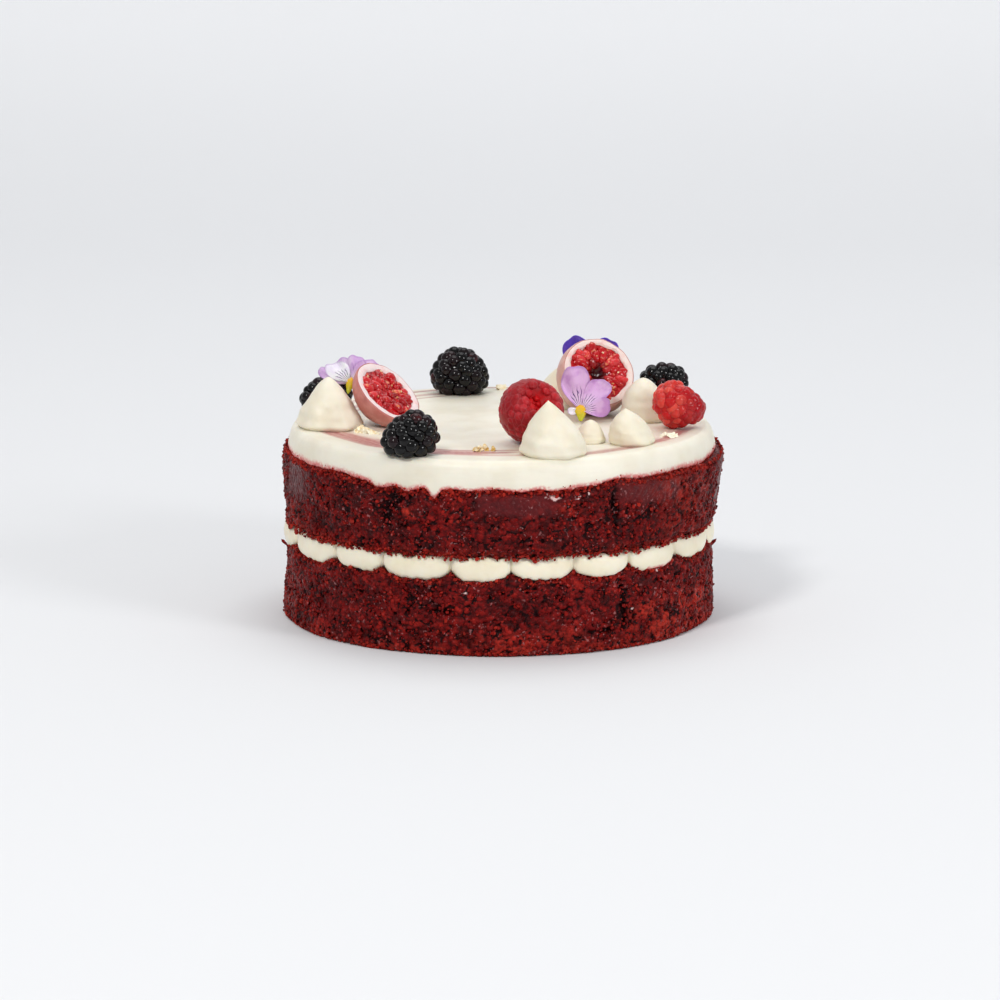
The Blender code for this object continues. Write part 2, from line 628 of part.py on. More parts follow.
def fig_half(name, wide, deep, drop, pulp_radius, dome, hollow, nub, seed, material):
    """Builds half a fig, cut face up along local Z: a bowl, its pale rim and the lumpy pulp.

    The bowl is an ellipsoid of radii wide and deep whose middle lies a drop below the cut. Its
    lowest ring is drawn out by the nub. The pulp rises by dome and dips by hollow at its middle.
    """
    turn = np.arange(FIG_COLUMNS) * 2.0 * math.pi / FIG_COLUMNS
    rng = np.random.default_rng(seed)
    circle = np.column_stack([np.cos(turn), np.sin(turn)])
    rings = []

    def add(radius, height):
        levels = np.zeros(FIG_COLUMNS) + height
        rings.append(np.column_stack([circle * np.reshape(radius, (-1, 1)), levels]))

    top_angle = 0.5 * math.pi + math.asin(drop / deep)
    for angle in np.linspace(FIG_BOWL_START, top_angle, FIG_BOWL_RINGS):
        point = max(0.0, 1.0 - angle / FIG_NUB_REACH) ** 2
        add(wide * math.sin(angle), -drop - deep * math.cos(angle) - nub * point)
    add(pulp_radius + FIG_RIM_STEP_WIDTH, FIG_RIM_STEP_HEIGHT)
    for share in FIG_PULP_RINGS:
        bumps = rng.uniform(-FIG_PULP_BUMP, FIG_PULP_BUMP, FIG_COLUMNS) * min(1.0, 2.0 * share)
        dip = hollow * math.exp(-((share / FIG_HOLLOW_SHARE) ** 2))
        add(pulp_radius * share, dome * (1.0 - share ** 2) - dip - FIG_PULP_STEP + bumps)
    return stacked_rings(name, rings, material, 50.0)


def figs():
    """Builds the two fig halves with their cut faces turned up towards the front right."""
    for name, x, y, wide, deep, drop, pulp, dome, hollow, nub, azimuth, elevation, seed, colour in FIGS:
        skin = principled(name, colour, FIG_FINISH)
        half = fig_half(name, wide, deep, drop, pulp, dome, hollow, nub, seed, skin)
        settle(half, x, y, facing(azimuth, elevation))


def lobed_outline(petals):
    """Radius of a flower's outline at each column: the longest petal there, or the core."""
    turn = np.degrees(np.arange(PETAL_COLUMNS) * 2.0 * math.pi / PETAL_COLUMNS)
    reach = np.full(PETAL_COLUMNS, PETAL_CORE)
    for direction, length, half_width in petals:
        offset = np.abs((turn - direction + 180.0) % 360.0 - 180.0) / half_width
        lobe = length * np.sqrt(np.cos(0.5 * math.pi * np.clip(offset, 0.0, 1.0)))
        reach = np.maximum(reach, lobe)
    return reach


def flower(name, petals, cup, colour):
    """Builds an open flower as one thin wavy sheet, cupped by a share of its radius."""

    def height(radius, angle):
        reach = np.minimum(radius / PETAL_WAVE_REACH, 1.2)
        return cup * radius ** 2 + PETAL_WAVE * np.sin(PETAL_WAVES_ROUND * angle) * reach ** 2

    petal = principled(name, colour, PETAL_FINISH)
    return wavy_sheet(name, lobed_outline(petals), PETAL_RINGS, height, PETAL_THICKNESS, petal)


def flowers():
    """Builds the three flowers: one leaning on each fig, one standing behind the right fig."""
    for name, x, y, lift, cup, azimuth, elevation, colour, petals in FLOWERS:
        bloom = flower(name, petals, cup, colour)
        turn = facing(azimuth, elevation)
        if lift is None:
            settle(bloom, x, y, turn)
        else:
            place(bloom, (x, y, FROSTING_TOP + lift), turn)


def main():
    """Clears the scene and builds every piece of the cake."""
    for item in list(bpy.data.objects):
        bpy.data.objects.remove(item)
    angles, across, blob = blob_columns()
    seam_low = filling_seam(across, blob)
    seam_middle = upper_seam(angles)
    seam_top = frosting_seam(angles)
    lower_sponge(angles, seam_low)
    filling(angles, across, seam_low, seam_middle)
    upper_sponge(angles, seam_middle, seam_top)
    frosting(angles, seam_top)
    dollops()
    dark_berries()
    raspberries()
    figs()
    flowers()
    bpy.context.view_layer.update()


main()
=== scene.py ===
"""The looks of the red velvet layer cake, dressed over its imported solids.

Metres, +Z up. The shown side faces -Y. Angles round the cake are in degrees from the front,
positive towards +X, so a point at an angle a and a radius r lies at (r sin a, -r cos a). Every
surface is a function of two parameters on a grid, or a small shape that is repeated.
"""
import logging
import math
from dataclasses import dataclass, field
from enum import Enum

import bmesh
import bpy
import numpy as np
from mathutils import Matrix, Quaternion, Vector


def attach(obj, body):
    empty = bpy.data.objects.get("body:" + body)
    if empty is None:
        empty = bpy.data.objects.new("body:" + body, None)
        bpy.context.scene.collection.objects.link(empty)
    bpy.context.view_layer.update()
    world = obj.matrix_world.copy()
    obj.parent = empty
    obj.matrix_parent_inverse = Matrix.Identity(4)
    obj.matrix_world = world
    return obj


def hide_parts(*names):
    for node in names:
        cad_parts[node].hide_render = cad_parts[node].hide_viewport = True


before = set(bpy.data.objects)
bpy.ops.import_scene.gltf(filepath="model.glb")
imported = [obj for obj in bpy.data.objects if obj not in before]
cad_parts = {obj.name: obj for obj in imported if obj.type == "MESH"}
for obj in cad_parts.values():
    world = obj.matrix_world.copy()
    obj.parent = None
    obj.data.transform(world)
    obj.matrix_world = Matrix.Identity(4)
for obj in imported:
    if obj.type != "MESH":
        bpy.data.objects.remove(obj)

LOG = logging.getLogger("red_velvet_cake")
BODY = "root"
FROSTING_TOP = 0.0706
FIT_GAP = 0.0003
TOPPING_SINK = 0.0003

Array = np.ndarray
Colour = tuple[float, float, float]
Triple = tuple[float, float, float]
Material = bpy.types.Material
Socket = bpy.types.NodeSocket
Piece = bpy.types.Object


class Slot(Enum):
    """The record's material slots."""

    CRUMB = "red_crumb"
    FILLING = "filling_cream"
    FROSTING = "frosting_cream"
    PIPED = "piped_cream"
    DARK_BERRY = "dark_berry"
    RASPBERRY = "raspberry"
    FIG = "fig"
    LILAC = "petal_lilac"
    VIOLET = "petal_violet"


class Feature(Enum):
    """What a cellular texture gives."""

    ROUND = "F1"
    EDGE = "DISTANCE_TO_EDGE"


def colour(code: str) -> Colour:
    """Turns a colour as seen on a screen into the shader's linear one.

    Args:
        code: Six hexadecimal digits, two each for red, green and blue.

    Returns:
        Each channel c as c / 12.92 up to 0.04045, and as ((c + 0.055) / 1.055) ** 2.4 above.
    """
    channels = [int(code[i:i + 2], 16) / 255.0 for i in (0, 2, 4)]
    return tuple(c / 12.92 if c <= 0.04045 else ((c + 0.055) / 1.055) ** 2.4 for c in channels)


def wrapped(degrees: Array, centre: float) -> Array:
    """Distance in degrees from a centre, between -180 and 180."""
    return (degrees - centre + 180.0) % 360.0 - 180.0


def on_ring(degrees: Array, radii: Array, heights: Array, centre: Array | float = 0.0) -> Array:
    """Places points round the cake.

    Args:
        degrees: Angles from the front.
        radii: Distances from the middle.
        heights: Heights.
        centre: How far the middle lies to the right.

    Returns:
        Points (..., 3) at centre + r sin a, -r cos a and the height.
    """
    turn = np.radians(degrees)
    x, y = centre + radii * np.sin(turn), -radii * np.cos(turn)
    return np.stack(np.broadcast_arrays(x, y, heights), axis=-1)


def smooth(share: Array) -> Array:
    """Eases a share from 0 to 1: 3 s squared less 2 s cubed, held at both ends."""
    held = np.clip(share, 0.0, 1.0)
    return held * held * (3.0 - 2.0 * held)


def hashed(cells: Array, seed: int) -> Array:
    """Gives each whole-number cell a fixed random number.

    Args:
        cells: Cell indices, with three in the last axis.
        seed: Picks one of many such tables.

    Returns:
        Numbers from 0 to 1, from products of the indices with large primes, mixed by shifts.
    """
    primes = np.array([73856093, 19349663, 83492791])
    mixed = ((cells.astype(np.int64) * primes).sum(axis=-1) + seed * 2654435761).astype(np.uint64)
    mixed &= np.uint64(0xFFFFFFFF)
    for shift, prime in ((15, 2246822519), (13, 3266489917)):
        mixed ^= mixed >> np.uint64(shift)
        mixed = (mixed * np.uint64(prime)) & np.uint64(0xFFFFFFFF)
    mixed ^= mixed >> np.uint64(16)
    return mixed / 4294967296.0


def soft_noise(points: Array, cell: float, seed: int, octaves: int = 1) -> Array:
    """Smooth random hills.

    Args:
        points: Places (..., 3).
        cell: Distance between hills in metres.
        seed: Picks the hills.
        octaves: Layers, each at half the size and half the height of the last.

    Returns:
        The blend of the random numbers at the eight corners of each point's cell, from -1 to 1.
    """
    total = np.zeros(points.shape[:-1])
    for octave in range(octaves):
        size = 0.5 ** octave
        place = points / (cell * size)
        corner = np.floor(place)
        share = place - corner
        share = share * share * (3.0 - 2.0 * share)
        for step in np.ndindex(2, 2, 2):
            weight = np.prod(np.where(np.array(step), share, 1.0 - share), axis=-1)
            total += weight * (2.0 * hashed(corner + np.array(step), seed + octave) - 1.0) * size
    return total


def scattered_cells(points: Array, cell: float, seed: int) -> tuple[Array, Array]:
    """Divides space among scattered centres, one in each cubic cell.

    Args:
        points: Places (..., 3).
        cell: Size of a cell in metres.
        seed: Picks the centres.

    Returns:
        The distance to the nearest centre in cells, and that centre's own random number.
    """
    place = points / cell
    home = np.floor(place)
    nearest = np.full(points.shape[:-1], 9.0)
    owner = np.zeros(points.shape[:-1])
    for step in np.ndindex(3, 3, 3):
        index = home + np.array(step) - 1.0
        centre = index + np.stack([hashed(index, seed + axis) for axis in range(3)], axis=-1)
        distance = np.linalg.norm(place - centre, axis=-1)
        owner = np.where(distance < nearest, hashed(index, seed + 3), owner)
        nearest = np.minimum(nearest, distance)
    return nearest, owner


def facing(azimuth: float, elevation: float, roll: float = 0.0) -> Array:
    """Works out the turn that points local Z in a direction.

    Args:
        azimuth: Degrees from the front.
        elevation: Degrees above level.
        roll: Degrees about local Z, made first.

    Returns:
        The turn as a matrix (3, 3).
    """
    across, lift = math.radians(azimuth), math.radians(elevation)
    level = math.cos(lift)
    aim = Vector((math.sin(across) * level, -math.cos(across) * level, math.sin(lift)))
    turn = aim.to_track_quat("Z", "Y") @ Quaternion((0.0, 0.0, 1.0), math.radians(roll))
    return np.array(turn.to_matrix())


def random_turns(count: int, rng: np.random.Generator) -> Array:
    """Draws random turns.

    Args:
        count: How many.
        rng: The source of the draws.

    Returns:
        Matrices (count, 3, 3), from unit quaternions of four normal draws each.
    """
    q = rng.normal(size=(count, 4))
    w, x, y, z = (q / np.linalg.norm(q, axis=1, keepdims=True)).T
    rows = (
        (1 - 2 * (y * y + z * z), 2 * (x * y - z * w), 2 * (x * z + y * w)),
        (2 * (x * y + z * w), 1 - 2 * (x * x + z * z), 2 * (y * z - x * w)),
        (2 * (x * z - y * w), 2 * (y * z + x * w), 1 - 2 * (x * x + y * y)),
    )
    return np.array(rows).transpose(2, 0, 1)


@dataclass
class Surface:
    """A mesh in the making.

    Attributes:
        points: Places (N, 3).
        quads: Four point indices to a face (M, 4).
        triangles: Three point indices to a face (K, 3).
        marks: Named numbers at the points, which the finishes read.
    """

    points: Array
    quads: Array = field(default_factory=lambda: np.zeros((0, 4), np.int64))
    triangles: Array = field(default_factory=lambda: np.zeros((0, 3), np.int64))
    marks: dict[str, Array] = field(default_factory=dict)

    def moved(self, turn: Array, x: float, y: float, z: float) -> "Surface":
        """The same surface, turned about its origin and then moved."""
        points = self.points @ turn.T + np.array([x, y, z])
        return Surface(points, self.quads, self.triangles, self.marks)

    def settled(self, turn: Array, x: float, y: float) -> "Surface":
        """Turned, and moved so that its lowest point sinks a little into the frosting."""
        lowest = (self.points @ turn.T)[:, 2].min()
        return self.moved(turn, x, y, FROSTING_TOP - TOPPING_SINK - lowest)

    def outward(self) -> "Surface":
        """Turns a closed surface's faces outwards: they are flipped if its volume comes out negative."""
        corners = np.concatenate([self.triangles, self.quads[:, [0, 1, 2]], self.quads[:, [0, 2, 3]]])
        a, b, c = (self.points[corners[:, i]] for i in range(3))
        if np.einsum("ij,ij->i", a, np.cross(b, c)).sum() < 0.0:
            self.quads = self.quads[:, ::-1]
            self.triangles = self.triangles[:, ::-1]
        return self

    def build(self, name: str, material: Material, sharp_angle: float | None = None) -> Piece:
        """Puts the arrays into a mesh and links it.

        Args:
            name: The piece's name.
            material: Its finish.
            sharp_angle: Edges over this many degrees are sharp, or None for none.

        Returns:
            The new object, at the origin.
        """
        mesh = bpy.data.meshes.new(name)
        mesh.vertices.add(len(self.points))
        mesh.vertices.foreach_set("co", self.points.astype(np.float32).ravel())
        loops = np.concatenate([self.quads.ravel(), self.triangles.ravel()]).astype(np.int32)
        mesh.loops.add(len(loops))
        mesh.loops.foreach_set("vertex_index", loops)
        first = self.quads.size
        starts = np.concatenate([np.arange(0, first, 4), first + np.arange(0, self.triangles.size, 3)])
        mesh.polygons.add(len(starts))
        mesh.polygons.foreach_set("loop_start", starts.astype(np.int32))
        for mark, values in self.marks.items():
            layer = mesh.attributes.new(mark, "FLOAT", "POINT")
            layer.data.foreach_set("value", np.asarray(values, np.float32))
        mesh.update(calc_edges=True)
        mesh.shade_smooth()
        if sharp_angle is not None:
            mesh.set_sharp_from_angle(angle=math.radians(sharp_angle))
        mesh.materials.append(material)
        piece = bpy.data.objects.new(name, mesh)
        bpy.context.scene.collection.objects.link(piece)
        return piece


def joined(parts: list[Surface]) -> Surface:
    """Joins surfaces into one.

    Args:
        parts: The surfaces.

    Returns:
        One surface with all their points and faces, and the marks that they all have.
    """
    starts = np.cumsum([0] + [len(part.points) for part in parts[:-1]])
    shared = set.intersection(*(set(part.marks) for part in parts))
    return Surface(
        np.concatenate([part.points for part in parts]),
        np.concatenate([part.quads + start for part, start in zip(parts, starts)]),
        np.concatenate([part.triangles + start for part, start in zip(parts, starts)]),
        {mark: np.concatenate([part.marks[mark] for part in parts]) for mark in sorted(shared)},
    )


def woven(rows: Array, marks: dict[str, Array], closed: bool = True, capped: bool = True) -> Surface:
    """Joins a grid of points into faces.

    Args:
        rows: Points (rows, columns, 3).
        marks: Numbers at the points (rows, columns).
        closed: Whether the last column meets the first.
        capped: Whether the first and the last row are closed by a fan to their middle point.

    Returns:
        One quad between each two rows and columns, with a fan of triangles at each capped end.
    """
    count, width = rows.shape[:2]
    index = np.arange(count * width).reshape(count, width)
    after = np.roll(index, -1, axis=1) if closed else index[:, 1:]
    here = index if closed else index[:, :-1]
    quads = np.stack([here[:-1], after[:-1], after[1:], here[1:]], axis=-1).reshape(-1, 4)
    points = rows.reshape(-1, 3)
    flat = {mark: values.reshape(-1) for mark, values in marks.items()}
    triangles = np.zeros((0, 3), np.int64)
    if capped:
        ends = np.array([count * width, count * width + 1])
        points = np.concatenate([points, rows[[0, -1]].mean(axis=1)])
        flat = {mark: np.append(flat[mark], marks[mark][[0, -1]].mean(axis=1)) for mark in flat}
        first = np.stack([after[0], here[0], np.full(here.shape[1], ends[0])], axis=-1)
        last = np.stack([here[-1], after[-1], np.full(here.shape[1], ends[1])], axis=-1)
        triangles = np.concatenate([first, last])
    surface = Surface(points, quads, triangles, flat)
    return surface.outward() if capped else surface


def ball(steps: int) -> Surface:
    """Makes a ball of radius 1 from nearly equal triangles.

    Args:
        steps: 1 for 20 triangles, and each further step splits every triangle into four.

    Returns:
        The ball about the origin.
    """
    shell = bmesh.new()
    bmesh.ops.create_icosphere(shell, subdivisions=steps, radius=1.0)
    mesh = bpy.data.meshes.new("ball")
    shell.to_mesh(mesh)
    shell.free()
    points = np.empty(len(mesh.vertices) * 3, np.float32)
    mesh.vertices.foreach_get("co", points)
    corners = np.empty(len(mesh.loops), np.int32)
    mesh.loops.foreach_get("vertex_index", corners)
    bpy.data.meshes.remove(mesh)
    triangles = corners.reshape(-1, 3).astype(np.int64)
    return Surface(points.reshape(-1, 3).astype(float), triangles=triangles)


def repeated(shape: Surface, centres: Array, sizes: Array, turns: Array, marks: dict[str, Array],
             roughness: float = 0.0, seed: int = 0) -> Surface:
    """Copies a small shape to many places as one surface.

    Args:
        shape: The shape to repeat.
        centres: Places of the copies (N, 3).
        sizes: Their half sizes along their own axes (N, 3).
        turns: Their turns (N, 3, 3).
        marks: A number for each copy (N), by name.
        roughness: Random share by which each point moves in or out.
        seed: Picks those moves.

    Returns:
        The copies: each point is scaled, turned and moved by its copy's size, turn and centre.
    """
    count, each = len(centres), len(shape.points)
    uneven = 1.0 + np.random.default_rng(seed).uniform(-roughness, roughness, (count, each, 1))
    local = shape.points[None] * uneven * sizes[:, None, :]
    points = np.einsum("nij,nkj->nki", turns, local) + centres[:, None, :]
    shift = (np.arange(count) * each)[:, None, None]
    return Surface(
        points.reshape(-1, 3),
        (shape.quads[None] + shift).reshape(-1, 4),
        (shape.triangles[None] + shift).reshape(-1, 3),
        {mark: np.repeat(values, each) for mark, values in marks.items()},
    )


def frames_along(normals: Array) -> Array:
    """Works out a turn for each direction.

    Args:
        normals: Directions (N, 3) of any length.

    Returns:
        Matrices (N, 3, 3) whose third axis is each direction and whose first lies level where it can.
    """
    up = normals / np.linalg.norm(normals, axis=1, keepdims=True)
    side = np.cross(np.array([0.0, 0.0, 1.0]), up)
    short = np.linalg.norm(side, axis=1, keepdims=True) < 1e-6
    side = np.where(short, np.array([[1.0, 0.0, 0.0]]), side)
    side /= np.linalg.norm(side, axis=1, keepdims=True)
    return np.stack([side, np.cross(up, side), up], axis=-1)


def crumb_marks(tone: Array, bright: Array) -> dict[str, Array]:
    """Marks of loose crumbs, which are neither moist nor smeared nor in a pore, and take no painted
    shade.
    """
    blank = np.zeros_like(tone)
    return {"tone": tone, "bright": bright, "cavity": blank, "moist": blank, "smear": blank,
            "loose": np.ones_like(tone)}


def dressed(piece: Piece, slot: Slot, *nodes: str) -> Piece:
    """Makes a piece part of the cake.

    Args:
        piece: The object.
        slot: The material slot meant for it; not used.
        nodes: The solids that it stands for.

    Returns:
        The same object.
    """
    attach(piece, BODY)
    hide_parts(*nodes)
    LOG.info("%s: %d faces", piece.name, len(piece.data.polygons))
    return piece


class NodeBook:
    """A material's nodes, with a short method for each kind that the finishes use."""

    def __init__(self, name: str) -> None:
        """Starts a material with its main shader and its object coordinates."""
        self.material = bpy.data.materials.new(name)
        self.material.use_nodes = True
        self.nodes = self.material.node_tree.nodes
        self.links = self.material.node_tree.links
        self.shader = self.nodes["Principled BSDF"]
        self.place = self.nodes.new("ShaderNodeTexCoord").outputs["Object"]

    def feed(self, socket: Socket, value: object) -> None:
        """Links a socket to another one, or sets it to a number or a colour."""
        if isinstance(value, Socket):
            self.links.new(value, socket)
        elif isinstance(value, tuple) and socket.type == "RGBA":
            socket.default_value = (*value, 1.0)
        else:
            socket.default_value = value

    def stretched(self, scale: Triple) -> Socket:
        """Object coordinates scaled along each axis."""
        node = self.nodes.new("ShaderNodeMapping")
        self.links.new(self.place, node.inputs["Vector"])
        node.inputs["Scale"].default_value = scale
        return node.outputs["Vector"]

    def mark(self, name: str) -> Socket:
        """A number that the mesh carries at its points."""
        node = self.nodes.new("ShaderNodeAttribute")
        node.attribute_name = name
        return node.outputs["Fac"]

    def noise(self, size: float, detail: float = 2.0, vector: object = None) -> Socket:
        """Cloudy noise with spots of about this size in metres, from 0 to 1."""
        node = self.nodes.new("ShaderNodeTexNoise")
        self.links.new(vector or self.place, node.inputs["Vector"])
        node.inputs["Scale"].default_value = 1.0 / size
        node.inputs["Detail"].default_value = detail
        return node.outputs["Fac"]

    def cells(self, size: float, feature: Feature = Feature.ROUND, vector: object = None) -> Socket:
        """Distances in a pattern of cells of about this size in metres."""
        node = self.nodes.new("ShaderNodeTexVoronoi")
        node.feature = feature.value
        self.links.new(vector or self.place, node.inputs["Vector"])
        node.inputs["Scale"].default_value = 1.0 / size
        return node.outputs["Distance"]

    def math(self, operation: str, a: object, b: object = 0.0) -> Socket:
        """One sum on two numbers or sockets."""
        node = self.nodes.new("ShaderNodeMath")
        node.operation = operation
        self.feed(node.inputs[0], a)
        self.feed(node.inputs[1], b)
        return node.outputs["Value"]

    def plus(self, a: object, b: object) -> Socket:
        """The sum of two numbers or sockets."""
        return self.math("ADD", a, b)

    def less(self, a: object, b: object) -> Socket:
        """The first number or socket less the second."""
        return self.math("SUBTRACT", a, b)

    def times(self, a: object, b: object) -> Socket:
        """The product of two numbers or sockets."""
        return self.math("MULTIPLY", a, b)

    def spread(self, value: object, low: float, high: float, to_low: float = 0.0,
               to_high: float = 1.0) -> Socket:
        """Maps a range onto another one, smoothly and held at both ends.

        Args:
            value: The number or socket to map.
            low: Where the range starts.
            high: Where it ends.
            to_low: What its start becomes.
            to_high: What its end becomes.

        Returns:
            The mapped number.
        """
        node = self.nodes.new("ShaderNodeMapRange")
        node.interpolation_type = "SMOOTHSTEP"
        settings = {"Value": value, "From Min": low, "From Max": high, "To Min": to_low,
                    "To Max": to_high}
        for name, number in settings.items():
            self.feed(node.inputs[name], number)
        return node.outputs["Result"]

    def mix(self, share: object, a: object, b: object) -> Socket:
        """Mixes two colours.

        Args:
            share: How much of the second one.
            a: The first colour or socket.
            b: The second one.

        Returns:
            The mixed colour.
        """
        node = self.nodes.new("ShaderNodeMix")
        node.data_type = "RGBA"
        self.feed(node.inputs[0], share)
        self.feed(node.inputs[6], a)
        self.feed(node.inputs[7], b)
        return node.outputs[2]

    def relief(self, height: object, depth: float, strength: float = 1.0) -> None:
        """Adds a bump of this depth in metres before whatever relief there is."""
        node = self.nodes.new("ShaderNodeBump")
        self.feed(node.inputs["Height"], height)
        node.inputs["Distance"].default_value = depth
        node.inputs["Strength"].default_value = strength
        normal = self.shader.inputs["Normal"]
        if normal.links:
            self.links.new(normal.links[0].from_socket, node.inputs["Normal"])
        self.links.new(node.outputs["Normal"], normal)

    def finish(self, **sockets: object) -> Material:
        """Feeds the main shader's sockets, named with _ for a space, and returns the material."""
        for name, value in sockets.items():
            self.feed(self.shader.inputs[name.replace("_", " ")], value)
        return self.material


@dataclass(frozen=True)
class CrumbFinish:
    """Red velvet crumb: mottled crumbs with painted shade in the pores and the gaps, painted glints,
    moist places and smears of cream.
    """

    name: str = "red_velvet_crumb"
    # The colour of the painted shade in the pores, the cracks, the torn places and the gaps between
    # crumbs
    pore: Colour = colour("1e0305")
    dark: Colour = colour("430809")
    base: Colour = colour("720e0e")
    light: Colour = colour("9c1f18")
    bright: Colour = colour("be3324")
    moist: Colour = colour("561e21")
    # The colour of the painted glints
    painted_glint: Colour = colour("b87c7c")
    smear: Colour = colour("e6c2be")
    grain: float = 0.0016

    def material(self) -> Material:
        """Colours by the mesh's marks, broken up by finer noise, with painted shade in pits and between
        grains, painted glints, and a fine crumb relief.
        """
        book = NodeBook(self.name)
        fine = book.noise(0.0009, 3.0)
        specks = book.less(book.noise(0.0021, 2.0), 0.5)
        tone = book.plus(book.mark("tone"), book.times(specks, 0.9))
        patches = book.less(book.noise(0.0075, 2.0), 0.5)
        tone = book.plus(tone, book.times(patches, 1.25))
        shade = book.mix(book.spread(tone, 0.05, 0.55), self.dark, self.base)
        shade = book.mix(book.spread(tone, 0.55, 1.05), shade, self.light)
        wet = book.mark("moist")
        shade = book.mix(book.times(wet, 0.85), shade, self.moist)
        # The bright mark gives brighter red crumb, and in some patches a painted highlight
        shade = book.mix(book.mark("bright"), shade, self.bright)
        # Painted shade in the pores, the cracks and the torn places, from the cavity mark and fine noise
        pit_shade = book.plus(book.mark("cavity"), book.times(fine, 0.22))
        shade = book.mix(book.spread(pit_shade, 0.24, 0.75), shade, self.pore)
        # Painted shade between the grains, less where moist and none on loose crumbs
        grain = book.cells(self.grain)
        gap_shade = book.times(book.spread(grain, 0.42, 0.8), book.spread(wet, 0.0, 0.8, 0.58, 0.0))
        gap_shade = book.times(gap_shade, book.less(1.0, book.mark("loose")))
        shade = book.mix(gap_shade, shade, self.pore)
        # Painted glints in scattered places, set by noise
        painted_glints = book.spread(book.noise(0.0012, 1.0), 0.63, 0.73, 0.0, 0.55)
        places = book.spread(book.noise(0.011, 1.0), 0.4, 0.6)
        shade = book.mix(book.times(painted_glints, places), shade, self.painted_glint)
        cream = book.times(book.mark("smear"), book.noise(0.0011, 2.0))
        shade = book.mix(book.spread(cream, 0.22, 0.42), shade, self.smear)
        book.relief(fine, 0.0004, 0.7)
        book.relief(book.less(1.0, grain), 0.00085, 0.8)
        rough = book.spread(wet, 0.0, 1.0, 0.4, 0.28)
        return book.finish(Base_Color=shade, Roughness=rough, Specular_IOR_Level=0.09)


@dataclass(frozen=True)
class CreamFinish:
    """Piped cream: warm white with slow clouds of a deeper cream, satin and a little see-through."""

    name: str
    base: Colour
    deep: Colour
    stain: Colour = colour("dc8a86")
    pores: float = 0.00005

    def material(self) -> Material:
        """Slow clouds of the deeper cream, tiny air pores in the relief, and the marked stain."""
        book = NodeBook(self.name)
        shade = book.mix(book.spread(book.noise(0.009, 3.0), 0.35, 0.7), self.base, self.deep)
        ragged = book.spread(book.noise(0.0012, 3.0), 0.25, 0.62, 0.45, 1.25)
        ragged = book.times(book.mark("stain"), ragged)
        shade = book.mix(book.spread(ragged, 0.08, 0.95), shade, self.stain)
        book.relief(book.noise(0.0006, 2.0), self.pores, 0.6)
        book.relief(book.noise(0.0035, 2.0), 0.00016, 0.5)
        rough = book.spread(book.noise(0.004, 2.0), 0.3, 0.7, 0.42, 0.54)
        return book.finish(
            Base_Color=shade, Roughness=rough, Subsurface_Weight=0.25,
            Subsurface_Radius=(1.0, 0.72, 0.42), Subsurface_Scale=0.0022,
        )


@dataclass(frozen=True)
class FrostingFinish:
    """The spread cream on top: cream with pink and red-brown strokes and a red-stained foot."""

    name: str = "frosting_cream"
    base: Colour = colour("f1ecdc")
    deep: Colour = colour("e9e2cf")
    pale_stroke: Colour = colour("d8a096")
    dark_stroke: Colour = colour("ac615f")
    stain: Colour = colour("e0807c")
    deep_stain: Colour = colour("a8282c")

    def material(self) -> Material:
        """Mixes in the strokes and the stain that the mesh marks, with streaks along the strokes."""
        book = NodeBook(self.name)
        shade = book.mix(book.spread(book.noise(0.014, 3.0), 0.35, 0.7), self.base, self.deep)
        pink = book.mix(book.mark("depth"), self.pale_stroke, self.dark_stroke)
        streak = book.spread(book.noise(0.0016, 3.0), 0.2, 0.75, 0.78, 1.08)
        shade = book.mix(book.times(book.mark("stroke"), streak), shade, pink)
        ragged = book.spread(book.noise(0.0011, 3.0), 0.28, 0.6, 0.5, 1.3)
        ragged = book.times(book.mark("stain"), ragged)
        shade = book.mix(book.spread(ragged, 0.12, 0.8), shade, self.stain)
        shade = book.mix(book.spread(ragged, 0.85, 1.2), shade, self.deep_stain)
        book.relief(book.noise(0.0005, 2.0), 0.00004, 0.6)
        book.relief(book.noise(0.006, 3.0, book.stretched((1.0, 1.0, 5.0))), 0.00022, 0.5)
        return book.finish(
            Base_Color=shade, Roughness=0.44, Subsurface_Weight=0.22,
            Subsurface_Radius=(1.0, 0.72, 0.42), Subsurface_Scale=0.0022,
        )


@dataclass(frozen=True)
class BerryFinish:
    """Glossy near-black drupelets, some tinged with purple or red-brown."""

    name: str = "dark_berry_skin"
    dark: Colour = colour("040304")
    tinge: Colour = colour("200d12")
    ruddy: Colour = colour("58191b")

    def material(self) -> Material:
        """Tone by drupelet, a finer mottle, and a wet coat over a slightly uneven skin."""
        book = NodeBook(self.name)
        tone = book.plus(book.mark("tone"), book.times(book.noise(0.002, 2.0), 0.25))
        shade = book.mix(book.spread(tone, 0.75, 1.15), self.dark, self.tinge)
        shade = book.mix(book.spread(tone, 1.1, 1.2), shade, self.ruddy)
        book.relief(book.noise(0.0009, 2.0), 0.0001, 0.5)
        return book.finish(
            Base_Color=shade, Roughness=0.3, Specular_IOR_Level=0.0,
            Coat_Weight=0.6, Coat_Roughness=0.03,
        )


